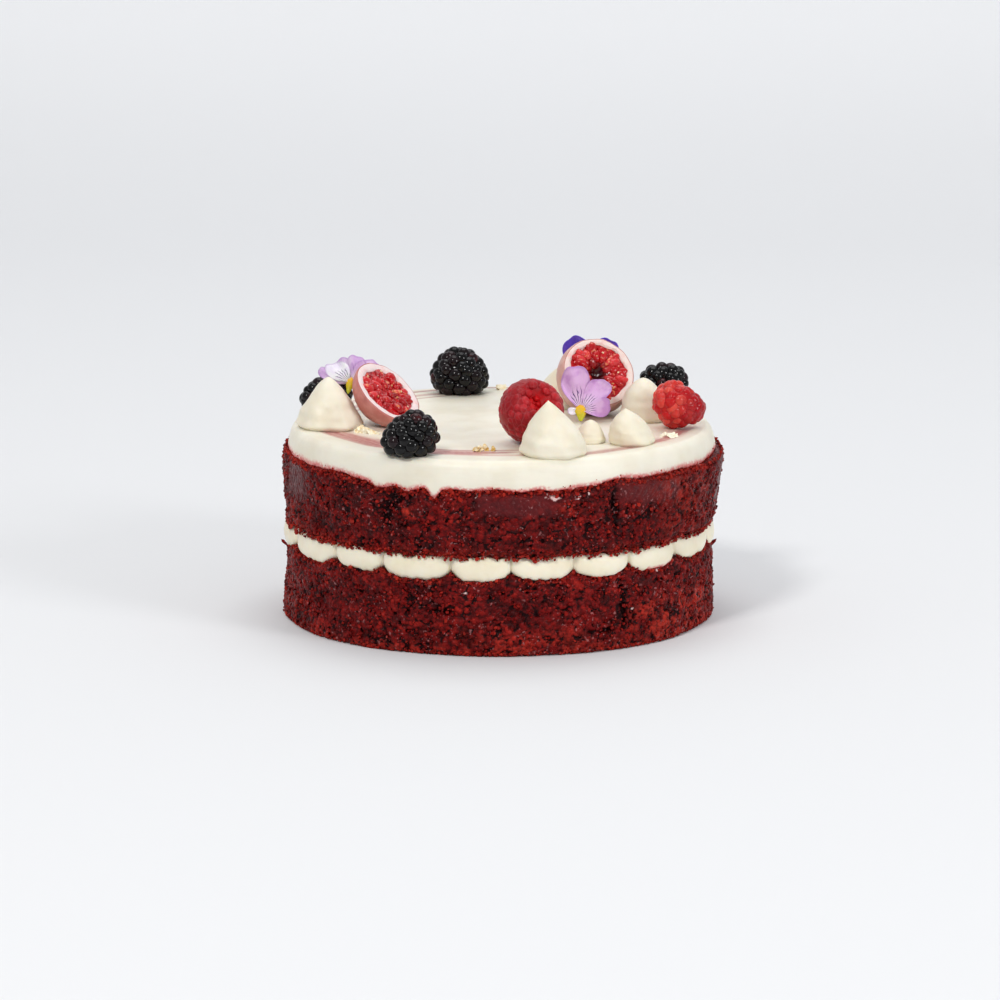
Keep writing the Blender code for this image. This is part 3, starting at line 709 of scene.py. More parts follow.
@dataclass(frozen=True)
class RaspberryFinish:
    """Velvety or wet red drupelets, deeper inside."""

    name: str
    base: Colour
    light: Colour
    inner: Colour
    bloom: float
    roughness: float
    hairs: float
    hair: Colour = colour("c4686c")
    sheen: Colour = colour("f0b8b8")

    def material(self) -> Material:
        """Tone by drupelet, the marked inside in a deeper red, and a pale bloom as a sheen."""
        book = NodeBook(self.name)
        tone = book.plus(book.mark("tone"), book.times(book.noise(0.0015, 3.0), 0.5))
        shade = book.mix(book.spread(tone, 0.3, 1.2), self.base, self.light)
        edge = book.cells(0.0024, Feature.EDGE, book.stretched((1.0, 1.0, 0.6)))
        shade = book.mix(book.spread(edge, 0.02, 0.1, self.hairs, 0.0), shade, self.hair)
        shade = book.mix(book.mark("inner"), shade, self.inner)
        book.relief(book.noise(0.0005, 3.0), 0.00012, 0.6)
        return book.finish(
            Base_Color=shade, Roughness=self.roughness, Specular_IOR_Level=0.22,
            Sheen_Weight=self.bloom, Sheen_Roughness=0.45, Sheen_Tint=self.sheen,
            Subsurface_Weight=0.25, Subsurface_Radius=(1.0, 0.12, 0.08), Subsurface_Scale=0.0018,
        )


@dataclass(frozen=True)
class RindFinish:
    """A fig half's thin pink skin and the pale ring inside it."""

    name: str
    skin: Colour
    skin_light: Colour
    pith: Colour
    blush: Colour
    line: Colour = colour("9a4844")

    def material(self) -> Material:
        """Skin and pith by the mesh's mark, with faint veins, and a blush where they meet."""
        book = NodeBook(self.name)
        skin = book.mix(book.spread(book.noise(0.0035, 4.0), 0.3, 0.75), self.skin, self.skin_light)
        pith = book.mix(book.spread(book.noise(0.0022, 3.0), 0.45, 0.8), self.pith, self.blush)
        place = book.mark("skin")
        shade = book.mix(book.spread(place, 0.35, 0.65), pith, skin)
        band = book.math("ABSOLUTE", book.less(place, 0.75))
        shade = book.mix(book.spread(band, 0.05, 0.22, 0.7, 0.0), shade, self.line)
        book.relief(book.noise(0.0012, 3.0), 0.00014, 0.6)
        return book.finish(
            Base_Color=shade, Roughness=0.42,
            Subsurface_Weight=0.2, Subsurface_Radius=(1.0, 0.5, 0.4), Subsurface_Scale=0.0015,
        )


@dataclass(frozen=True)
class PulpFinish:
    """Wet fig pulp: glossy red lumps, some pale or orange, with painted shade in the hollow."""

    name: str = "fig_pulp"
    deep: Colour = colour("84000a")
    base: Colour = colour("bc0a14")
    light: Colour = colour("d83438")
    orange: Colour = colour("ee8a60")
    # The colour of the painted shade in the hollow
    dark: Colour = colour("3a0005")

    def material(self) -> Material:
        """Tone by lump, with painted shade from the mesh's hollow mark, under a wet coat."""
        book = NodeBook(self.name)
        tone = book.plus(book.mark("tone"), book.times(book.noise(0.0009, 3.0), 0.4))
        shade = book.mix(book.spread(tone, 0.15, 0.6), self.deep, self.base)
        shade = book.mix(book.spread(tone, 0.75, 1.1), shade, self.light)
        flecks = book.spread(book.noise(0.0019, 1.0), 0.66, 0.72, 0.0, 0.75)
        shade = book.mix(book.math("MAXIMUM", book.spread(tone, 1.18, 1.26), flecks), shade, self.orange)
        shade = book.mix(book.mark("hollow"), shade, self.dark)
        book.relief(book.noise(0.0006, 2.0), 0.0001, 0.5)
        return book.finish(
            Base_Color=shade, Roughness=0.14, Specular_IOR_Level=0.25,
            Coat_Weight=0.4, Coat_Roughness=0.03,
            Subsurface_Weight=0.2, Subsurface_Radius=(1.0, 0.1, 0.08), Subsurface_Scale=0.001,
        )


@dataclass(frozen=True)
class PetalFinish:
    """A petal: a body colour with a paler heart or edge, mottled patches and dark veins at its foot."""

    name: str
    body: Colour
    patch: Colour
    heart: Colour
    vein: Colour = colour("4a1f6a")
    rim: Colour = colour("a070b4")
    vein_reach: float = 0.42
    veins: float = 7.0

    def material(self) -> Material:
        """Colours by the marks along and across the petal: veins are sharpened waves across it."""
        book = NodeBook(self.name)
        along, across = book.mark("along"), book.mark("across")
        shade = book.mix(book.spread(book.noise(0.0045, 2.0), 0.42, 0.62), self.body, self.patch)
        shade = book.mix(book.spread(along, 0.15, 0.62, 0.75, 0.0), shade, self.heart)
        shade = book.mix(book.spread(along, 0.9, 1.0, 0.0, 0.5), shade, self.rim)
        wobble = book.times(book.less(book.noise(0.002, 2.0), 0.5), 0.35)
        wave = book.math("COSINE", book.times(book.plus(across, wobble), self.veins * math.pi))
        fade = book.spread(along, self.vein_reach, self.vein_reach + 0.16, 1.0, 0.0)
        reach = book.times(fade, book.spread(along, 0.1, 0.2))
        shade = book.mix(book.times(book.spread(wave, 0.55, 0.95), reach), shade, self.vein)
        book.relief(book.math("COSINE", book.times(across, 60.0)), 0.00004, 0.5)
        return book.finish(
            Base_Color=shade, Roughness=0.55, Sheen_Weight=0.15, Sheen_Roughness=0.5,
            Subsurface_Weight=0.3, Subsurface_Radius=(0.8, 0.5, 0.9), Subsurface_Scale=0.0006,
        )


@dataclass(frozen=True)
class SpotFinish:
    """A small plain piece whose colour runs between two ends by its tone."""

    name: str
    low: Colour
    high: Colour
    roughness: float = 0.5
    metallic: float = 0.0
    grain: float = 0.0006

    def material(self) -> Material:
        """Tone and a little noise between the two colours, over a fine relief."""
        book = NodeBook(self.name)
        tone = book.plus(book.mark("tone"), book.less(book.noise(self.grain, 3.0), 0.5))
        shade = book.mix(book.spread(tone, 0.0, 1.0), self.low, self.high)
        book.relief(book.noise(self.grain, 2.0), 0.1 * self.grain, 0.6)
        return book.finish(Base_Color=shade, Roughness=self.roughness, Metallic=self.metallic)


@dataclass(frozen=True)
class CakePlan:
    """Where the layers meet: the filling's blobs and the three seams, by the angle round the cake."""

    joints_deg: tuple[float, ...] = (-95.5, -72.0, -49.5, -32.7, -12.9, 3.0, 20.0, 36.5, 54.3, 76.3)
    rear_blobs: int = 11
    columns_per_blob: int = 5
    rim_height: float = 0.0302
    blob_sink: float = 0.0029
    sink_spread: float = 0.0006
    rim_roughness: float = 0.00025
    rim_crumb: float = 0.0003
    underside: float = 0.0357
    underside_roughness: float = 0.0004
    underside_crumb: float = 0.00042
    seam_radius: float = 0.078
    crumb_step: float = 0.0021
    frosting_foot: float = 0.0617
    foot_roughness: float = 0.0004
    foot_waves: tuple[tuple[float, float, float], ...] = (
        (-86.0, 0.0009, 9.0), (-34.0, -0.0016, 3.0), (-28.0, -0.00125, 13.0), (-25.2, -0.0018, 2.2),
        (-22.5, -0.0004, 1.2), (-17.8, -0.0034, 1.5), (-10.0, -0.00125, 13.0), (-9.0, -0.0006, 1.5),
        (8.0, -0.00125, 13.0), (14.0, -0.0004, 2.0), (26.0, -0.00125, 13.0), (31.0, 0.0016, 7.0),
        (66.0, -0.0006, 6.0), (140.0, -0.0011, 5.0), (204.0, 0.0012, 8.0), (243.0, -0.0014, 4.0),
    )

    def joints(self) -> Array:
        """Angles of all the joints, from the first to the first again."""
        rear = np.linspace(self.joints_deg[-1], self.joints_deg[0] + 360.0, self.rear_blobs + 1)
        return np.concatenate([self.joints_deg[:-1], rear])

    def columns(self) -> Array:
        """Angles of the solids' columns, an equal number to each blob."""
        joints = self.joints()
        share = np.arange(self.columns_per_blob) / self.columns_per_blob
        return (joints[:-1, None] + np.diff(joints)[:, None] * share).ravel()

    def across_blob(self, degrees: Array) -> tuple[Array, Array]:
        """Finds the blob at each angle.

        Args:
            degrees: The angles.

        Returns:
            Each angle's place across its blob, from -1 to 1, and the blob's number.
        """
        joints = self.joints()
        turned = (degrees - joints[0]) % 360.0 + joints[0]
        blob = np.clip(np.searchsorted(joints, turned, side="right") - 1, 0, len(joints) - 2)
        return 2.0 * (turned - joints[blob]) / np.diff(joints)[blob] - 1.0, blob

    def ragged(self, degrees: Array, depth: float, seed: int) -> Array:
        """Uneven crumb along a seam: noise with bumps about 2 mm apart, round the cake's edge."""
        return depth * soft_noise(on_ring(degrees, self.seam_radius, 0.0), self.crumb_step, seed, 2)

    def between_columns(self, degrees: Array, values: Array) -> Array:
        """Blends numbers that the solids' columns have to any angle."""
        return np.interp(degrees, self.columns(), values, period=360.0)

    def lower_rim(self, degrees: Array) -> Array:
        """Height of the lower sponge's rim: pressed down under a blob by 1 less |across| cubed."""
        rng = np.random.default_rng(41)
        across, blob = self.across_blob(degrees)
        sink = self.blob_sink + rng.uniform(-self.sink_spread, self.sink_spread, len(self.joints()) - 1)
        crumbs = rng.uniform(-self.rim_roughness, self.rim_roughness, len(self.columns()))
        pressed = self.rim_height - sink[blob] * (1.0 - np.abs(across) ** 3)
        return pressed + self.between_columns(degrees, crumbs) + self.ragged(degrees, self.rim_crumb, 44)

    def upper_underside(self, degrees: Array) -> Array:
        """Height of the upper sponge's lower edge."""
        rng = np.random.default_rng(42)
        rough = rng.uniform(-self.underside_roughness, self.underside_roughness, len(self.columns()))
        crumb = self.ragged(degrees, self.underside_crumb, 45)
        return self.underside + self.between_columns(degrees, rough) + crumb

    def foot_of_frosting(self, degrees: Array) -> Array:
        """Height of the frosting's lower edge: level, with bell-shaped dips and climbs."""
        rng = np.random.default_rng(43)
        rough = rng.uniform(-self.foot_roughness, self.foot_roughness, len(self.columns()))
        height = self.frosting_foot + self.between_columns(degrees, rough)
        for centre, rise, half_width in self.foot_waves:
            height = height + rise * np.exp(-((wrapped(degrees, centre) / half_width) ** 2))
        return height


@dataclass(frozen=True)
class Patch:
    """An oval place on a sponge's side, strongest at its middle."""

    angle: float
    height: float
    half_width: float
    half_height: float
    strength: float = 1.0
    power: float = 2.0

    def weight(self, degrees: Array, heights: Array, radius: float) -> Array:
        """Strength times e to minus the sum of both distances, in half sizes, to the power."""
        arc = np.abs(np.radians(wrapped(degrees, self.angle)) * radius / self.half_width)
        rise = np.abs((heights - self.height) / self.half_height)
        return self.strength * np.exp(-(arc ** self.power) - rise ** self.power)


@dataclass(frozen=True)
class SpongeLayer:
    """One sponge: a craggy cut side between two seams, and crumbs that cling to it."""

    name: str
    node: str
    seed: int
    radius_low: float
    radius_high: float
    middle_low: float
    middle_high: float
    foot_inset: float
    foot_rise: float
    rim_inset: float
    rim_drop: float
    centre_low: float
    centre_high: float
    hollows: tuple[Patch, ...]
    moist: tuple[Patch, ...]
    smears: tuple[Patch, ...]
    bright: tuple[Patch, ...]
    torn: tuple[Patch, ...]
    cracks: tuple[Patch, ...] = ()
    crack_depth: float = 0.0019
    tone_shift: float = 0.0
    crags: tuple[tuple[float, float, float, float], ...] = ()
    swell: float = 0.0005
    swell_waves: tuple[int, ...] = (2, 3, 5, 8, 13)
    swell_twist: float = 160.0
    columns: int = 1090
    side_rows: int = 74
    end_shares: tuple[float, ...] = (0.985, 0.95, 0.9, 0.55, 0.2)
    wander_deg: float = 3.2
    wander_rise: float = 0.0017
    coarse_cell: float = 0.0027
    coarse_lift: float = 0.00095
    fine_cell: float = 0.0015
    fine_lift: float = 0.0007
    pore_cell: float = 0.0029
    pore_depth: float = 0.0008
    seam_share: float = 0.02
    loose_crumbs: int = 9000
    crumb_size: float = 0.00043
    low_crumbs: float = 0.13
    high_crumbs: float = 0.86
    low_spill: float = 0.0
    high_spill: float = 0.0005

    def centre(self, share: Array) -> Array:
        """The middle's place in x at a share of the height: it moves over just above the lower seam."""
        return self.centre_low + (self.centre_high - self.centre_low) * smooth(share * 6.0)

    def total(self, patches: tuple[Patch, ...], degrees: Array, heights: Array) -> Array:
        """Sum of several patches' weights, no more than 1."""
        weight = np.zeros_like(heights)
        for patch in patches:
            weight = weight + patch.weight(degrees, heights, self.radius_low)
        return np.minimum(weight, 1.0)

    def wandering(self, places: Array, degrees: Array, heights: Array) -> tuple[Array, Array]:
        """Moves angles and heights by slow noise, so that the patches have uneven edges."""
        across = soft_noise(places, 0.0065, self.seed + 70, 3)
        rise = soft_noise(places, 0.006, self.seed + 75, 3)
        return degrees + self.wander_deg * across, heights + self.wander_rise * rise

    def side_radius(self, degrees: Array, heights: Array, low: Array, high: Array) -> Array:
        """Radius of the side before its crumb.

        Args:
            degrees: Angles.
            heights: Heights at those angles.
            low: The lower seam's heights there.
            high: The upper seam's heights there.

        Returns:
            A straight flare, less the rounding at both edges, with slow waves and the hollows.
        """
        phases = np.random.default_rng(self.seed).uniform(0.0, 2.0 * math.pi, len(self.swell_waves))
        share = (heights - low) / (high - low)
        above = np.clip((heights - low) / self.foot_rise, 0.0, 1.0)
        below = np.clip((high - heights) / self.rim_drop, 0.0, 1.0)
        radius = self.radius_low + (self.radius_high - self.radius_low) * share
        radius = radius - self.foot_inset * (1.0 - above) ** 2 - self.rim_inset * (1.0 - below) ** 2
        for waves, phase in zip(self.swell_waves, phases):
            wave = np.sin(waves * np.radians(degrees) + phase + self.swell_twist * heights)
            radius = radius + self.swell * wave / math.sqrt(waves)
        for hollow in self.hollows:
            radius = radius - hollow.weight(degrees, heights, self.radius_low)
        return radius

    def crumb(self, points: Array, rough: Array) -> tuple[Array, Array, Array]:
        """Works out the crumb's relief.

        Args:
            points: Places (..., 3).
            rough: How rough each place is, 1 for plain crumb.

        Returns:
            The outward relief, a random tone for each crumb, and how deep each point is in a pore or a
            gap between crumbs, which sets its painted shade.
            Two sizes of rounded crumbs, each 1 less the squared distance to its centre, carry
            slow hills, and every fourth cell of a wider pattern is a pore.
        """
        flat = points * np.array([1.0, 1.0, 1.2])
        coarse, coarse_tone = scattered_cells(flat, self.coarse_cell, self.seed + 10)
        fine, fine_tone = scattered_cells(flat, self.fine_cell, self.seed + 20)
        holes, chosen = scattered_cells(flat, self.pore_cell, self.seed + 30)
        pore = (chosen > 0.74) * smooth((0.36 - holes) / 0.22) * (0.6 + 0.8 * (chosen - 0.74) / 0.26)
        hills = soft_noise(points, 0.006, self.seed + 40, 3)
        lumps = self.coarse_lift * (0.42 - coarse ** 2) * (0.5 + coarse_tone)
        lumps += self.fine_lift * (0.36 - fine ** 2) * (0.4 + fine_tone)
        broad = 0.00032 * soft_noise(points, 0.0036, self.seed + 45, 2)
        lift = rough * (lumps + broad + 0.00025 * hills - self.pore_depth * pore)
        tone = 0.4 * coarse_tone + 0.45 * fine_tone + 0.2 * (hills + 0.3)
        # The gaps between crumbs and the pores set the depth that takes painted shade
        gaps = 0.75 * smooth((coarse - 0.6) / 0.3) + 0.6 * smooth((fine - 0.56) / 0.3)
        depth = np.clip(0.65 * pore + gaps, 0.0, 1.0)
        return lift, tone, depth * np.minimum(rough, 1.0)

    def surface(self, plan: CakePlan, low_seam: Array, high_seam: Array, degrees: Array) -> Surface:
        """Builds the closed layer.

        Args:
            plan: The cake's plan.
            low_seam: Heights of the lower seam.
            high_seam: Heights of the upper seam.
            degrees: Angles of the columns.

        Returns:
            The side as rows from seam to seam, and both ends closed by a few rings to the middle.
        """
        share = np.linspace(0.0, 1.0, self.side_rows)[:, None]
        heights = low_seam + share * (high_seam - low_seam)
        grid = np.broadcast_to(degrees, heights.shape)
        radii = self.side_radius(grid, heights, low_seam, high_seam)
        place = on_ring(grid, radii, heights, self.centre(share))
        wander = self.wandering(place, grid, heights)
        wet = self.total(self.moist, *wander)
        ripped = self.total(self.torn, *wander)
        lift, tone, depth = self.crumb(place, (1.0 - 0.86 * wet) * (1.0 + 0.9 * ripped))
        line = self.total(self.cracks, grid + 0.15 * (wander[0] - grid), heights)
        near_low, near_high = (np.exp(-((end / self.seam_share) ** 2)) for end in (share, 1.0 - share))
        held = 1.0 - 0.55 * near_high - 0.6 * near_low
        radii = radii + (lift - self.crack_depth * line) * held
        low_rings = self.end_rings(radii[0], low_seam, self.middle_low)[::-1]
        high_rings = self.end_rings(radii[-1], high_seam, self.middle_high)
        rings = np.concatenate([low_rings, np.stack([radii, heights], axis=1), high_rings])
        middle = np.full((len(self.end_shares), 1), self.centre_low)
        middle = np.concatenate([middle, self.centre(share), 0.0 * middle + self.centre_high])
        rows = on_ring(degrees, rings[:, 0], rings[:, 1], middle)
        edge = np.exp(-((share * (high_seam - low_seam) / 0.0028) ** 2))
        # Brighter red crumb near the lower seam and in the bright patches, some of which are painted
        # highlights
        glow = np.clip(self.total(self.bright, *wander) + 0.6 * edge, 0.0, 1.0)
        glow = glow * smooth(soft_noise(place, 0.003, self.seed + 50, 2) + 0.55)
        # Painted shade in the pores, the gaps between crumbs, the torn places and the cracks
        cavity = np.clip(depth + 0.7 * ripped * (tone < 0.6) + 0.9 * line, 0.0, 1.0)
        marks = {
            "tone": self.padded(tone + self.tone_shift, 0.4),
            "cavity": self.padded(cavity, 0.1),
            "loose": self.padded(np.zeros_like(heights), 0.0),
            "moist": self.padded(wet, 0.0),
            "smear": self.padded(self.total(self.smears, *wander), 0.0),
            "bright": self.padded(glow, 0.2),
        }
        return woven(rows, marks)

    def padded(self, values: Array, fill: float) -> Array:
        """Adds one number for the rings of both ends to the side's numbers."""
        block = np.full((len(self.end_shares), values.shape[1]), fill)
        return np.concatenate([block, values, block])

    def end_rings(self, radii: Array, heights: Array, middle: float) -> Array:
        """Closes an end of the side.

        Args:
            radii: Radii of the side's last row.
            heights: Its heights.
            middle: The end's height at the middle.

        Returns:
            Rings at shares of the radii as (rings, radius and height, columns), which slope from
            the edge to the middle's height within a twelfth of the radius.
        """
        share = np.array(self.end_shares)[:, None]
        reach = np.minimum((1.0 - share) / 0.08, 1.0)
        return np.stack([radii * share, heights + (middle - heights) * reach], axis=1)

    def clinging(self, low_seam: Array, high_seam: Array, degrees: Array) -> Surface:
        """Builds the crumbs on the side: rough little balls, more of them near both edges.

        Args:
            low_seam: Heights of the lower seam at the degrees.
            high_seam: Heights of the upper seam.
            degrees: Angles of the seams' columns.

        Returns:
            All the crumbs as one surface, each half sunk into the side.
        """
        rng = np.random.default_rng(self.seed + 60)
        count = self.loose_crumbs
        angle = rng.uniform(-180.0, 180.0, count)
        low = np.interp(angle, degrees, low_seam, period=360.0)
        high = np.interp(angle, degrees, high_seam, period=360.0)
        kind = rng.uniform(0.0, 1.0, count)
        size = np.clip(rng.lognormal(math.log(self.crumb_size), 0.34, count), 0.00022, 0.00082)
        height = low + rng.uniform(0.01, 0.99, count) * (high - low)
        near_low, near_high = kind < self.low_crumbs, kind > self.high_crumbs
        height = np.where(near_low, low + rng.uniform(self.low_spill, 0.0016, count), height)
        height = np.where(near_high, high - rng.uniform(-self.high_spill, 0.0014, count), height)
        height = np.maximum(height, 1.3 * size)
        held = np.clip(height, low + 0.6 * self.foot_rise, high - 0.6 * self.rim_drop)
        radius = self.side_radius(angle, held, low, high) + rng.uniform(-0.25, 0.45, count) * size
        wet = self.total(self.moist, *self.wandering(on_ring(angle, radius, height), angle, height))
        inner = ~(near_low | near_high)
        size = np.where((wet > 0.35) & inner, size * 0.15, size)
        crag = np.array(self.crags).reshape(-1, 4).T
        centre = np.append(self.centre((height - low) / (high - low)), np.zeros(crag.shape[1]))
        angle, height = np.append(angle, crag[0]), np.append(height, crag[1])
        radius = np.append(radius, self.radius_low + crag[3])
        sizes = np.concatenate([size[:, None] * np.array([1.1, 0.95, 0.8]),
                                crag[2][:, None] * np.array([0.3, 0.4, 1.0])])
        places = on_ring(angle, radius, height, centre)
        turns = random_turns(len(places), rng)
        upright = places[count:] * np.array([0.35, 0.35, 0.0]) + np.array([0.0, 0.0, 0.03])
        turns[count:] = frames_along(upright)
        tone = rng.uniform(0.1, 0.85, len(places))
        glow = np.where(rng.uniform(0.0, 1.0, len(places)) < 0.1, 0.45, 0.02)
        glow[:count] += np.where(inner, 0.0, rng.uniform(0.0, 0.55, count))
        return repeated(ball(1), places, sizes, turns, crumb_marks(tone, glow), 0.28, self.seed + 61)

    def build(self, plan: CakePlan, seams: tuple[Array, Array], degrees: Array,
              finish: Material) -> None:
        """Builds the layer and its clinging crumbs.

        Args:
            plan: The cake's plan.
            seams: Heights of the lower and the upper seam at the degrees.
            degrees: Angles of the columns.
            finish: The crumb's material.
        """
        dressed(self.surface(plan, *seams, degrees).build(self.name, finish), Slot.CRUMB, self.node)
        crumbs = self.clinging(*seams, degrees).build(self.node + "_loose_crumbs", finish, 30.0)
        dressed(crumbs, Slot.CRUMB, self.node)


@dataclass(frozen=True)
class Filling:
    """The piped filling: rounded blobs side by side, creased where they meet."""

    edge_radius: float = 0.0762
    belly_radius: float = 0.0791
    belly_spread: float = 0.0003
    notch: float = 0.0026
    inner_radius: float = 0.07
    floor: float = 0.0288
    ceiling: float = 0.0354
    centre_x: float = 0.0002
    columns_per_blob: int = 52
    rows: int = 30
    stained: tuple[float, float] = (42.0, 51.5)

    def degrees(self, plan: CakePlan) -> Array:
        """Angles of the columns, which crowd towards each blob's joints."""
        joints = plan.joints()
        share = np.arange(self.columns_per_blob) / self.columns_per_blob
        crowded = 0.5 - 0.5 * np.cos(math.pi * share)
        blend = 0.5 * share + 0.5 * crowded
        return (joints[:-1, None] + np.diff(joints)[:, None] * blend).ravel()

    def surface(self, plan: CakePlan) -> Surface:
        """Builds the ring of blobs.

        Args:
            plan: The cake's plan.

        Returns:
            A closed layer. Up the side the radius is the edge's plus the bulge times the root of
            the cosine of a half turn, and the bulge falls with the fifth power of |across|.
        """
        degrees = self.degrees(plan)
        across, blob = plan.across_blob(degrees)
        rng = np.random.default_rng(51)
        swell = rng.uniform(-self.belly_spread, self.belly_spread, len(plan.joints()) - 1)
        belly = self.belly_radius + swell[blob]
        crease = self.notch * (0.7 * np.abs(across) ** 5 + 0.3 * np.abs(across) ** 24)
        low = plan.lower_rim(degrees) + FIT_GAP * 0.3
        high = plan.upper_underside(degrees) - FIT_GAP * 0.3
        turn = np.linspace(-0.5 * math.pi, 0.5 * math.pi, self.rows)[:, None]
        bulge = np.cos(turn) ** 0.55
        heights = low + (high - low) * (0.5 + 0.5 * np.sin(turn)) ** 1.08
        edge = self.edge_radius - crease * 0.6
        radii = edge + (belly - crease - edge) * bulge
        place = on_ring(degrees, radii, heights)
        uneven = soft_noise(place, 0.0055, 52, 2) * 0.00016 + soft_noise(place, 0.0016, 53) * 0.00004
        radii = radii + uneven * bulge
        inner = self.inner_radius * np.array([0.25, 1.0])[:, None] * np.ones_like(degrees)
        radii = np.concatenate([inner, radii, inner[::-1]])
        heights = np.concatenate([np.full_like(inner, self.floor), heights,
                                  np.full_like(inner, self.ceiling)])
        inside = (degrees > self.stained[0]) & (degrees < self.stained[1])
        foot = np.exp(-((heights - low) / 0.0012) ** 2) * 0.9 * inside
        seams = 0.35 * np.exp(-((heights - low) / 0.0004) ** 2)
        seams = seams + 0.3 * np.exp(-((high - heights) / 0.0004) ** 2)
        rows = on_ring(degrees, radii, heights, self.centre_x)
        return woven(rows, {"stain": np.clip(foot + seams, 0.0, 1.0)})

    def build(self, plan: CakePlan, finish: Material) -> None:
        """Builds the filling."""
        dressed(self.surface(plan).build("filling_blobs", finish), Slot.FILLING, "filling")


@dataclass(frozen=True)
class Stroke:
    """A streak of pink in the top: part of a ring whose radius drifts from one end to the other."""

    start: float
    end: float
    radius_start: float
    radius_end: float
    half_width: float
    strength: float
    depth: float

    def weight(self, degrees: Array, radii: Array) -> Array:
        """Strength times a bell across the streak, faded over its last degrees at each end."""
        along = wrapped(degrees, 0.5 * (self.start + self.end)) / (0.5 * (self.end - self.start))
        share = 0.5 + 0.5 * along
        middle = self.radius_start + (self.radius_end - self.radius_start) * share
        fade = smooth((1.0 - np.abs(along)) / 0.25)
        return self.strength * fade * np.exp(-(np.abs((radii - middle) / self.half_width) ** 3))


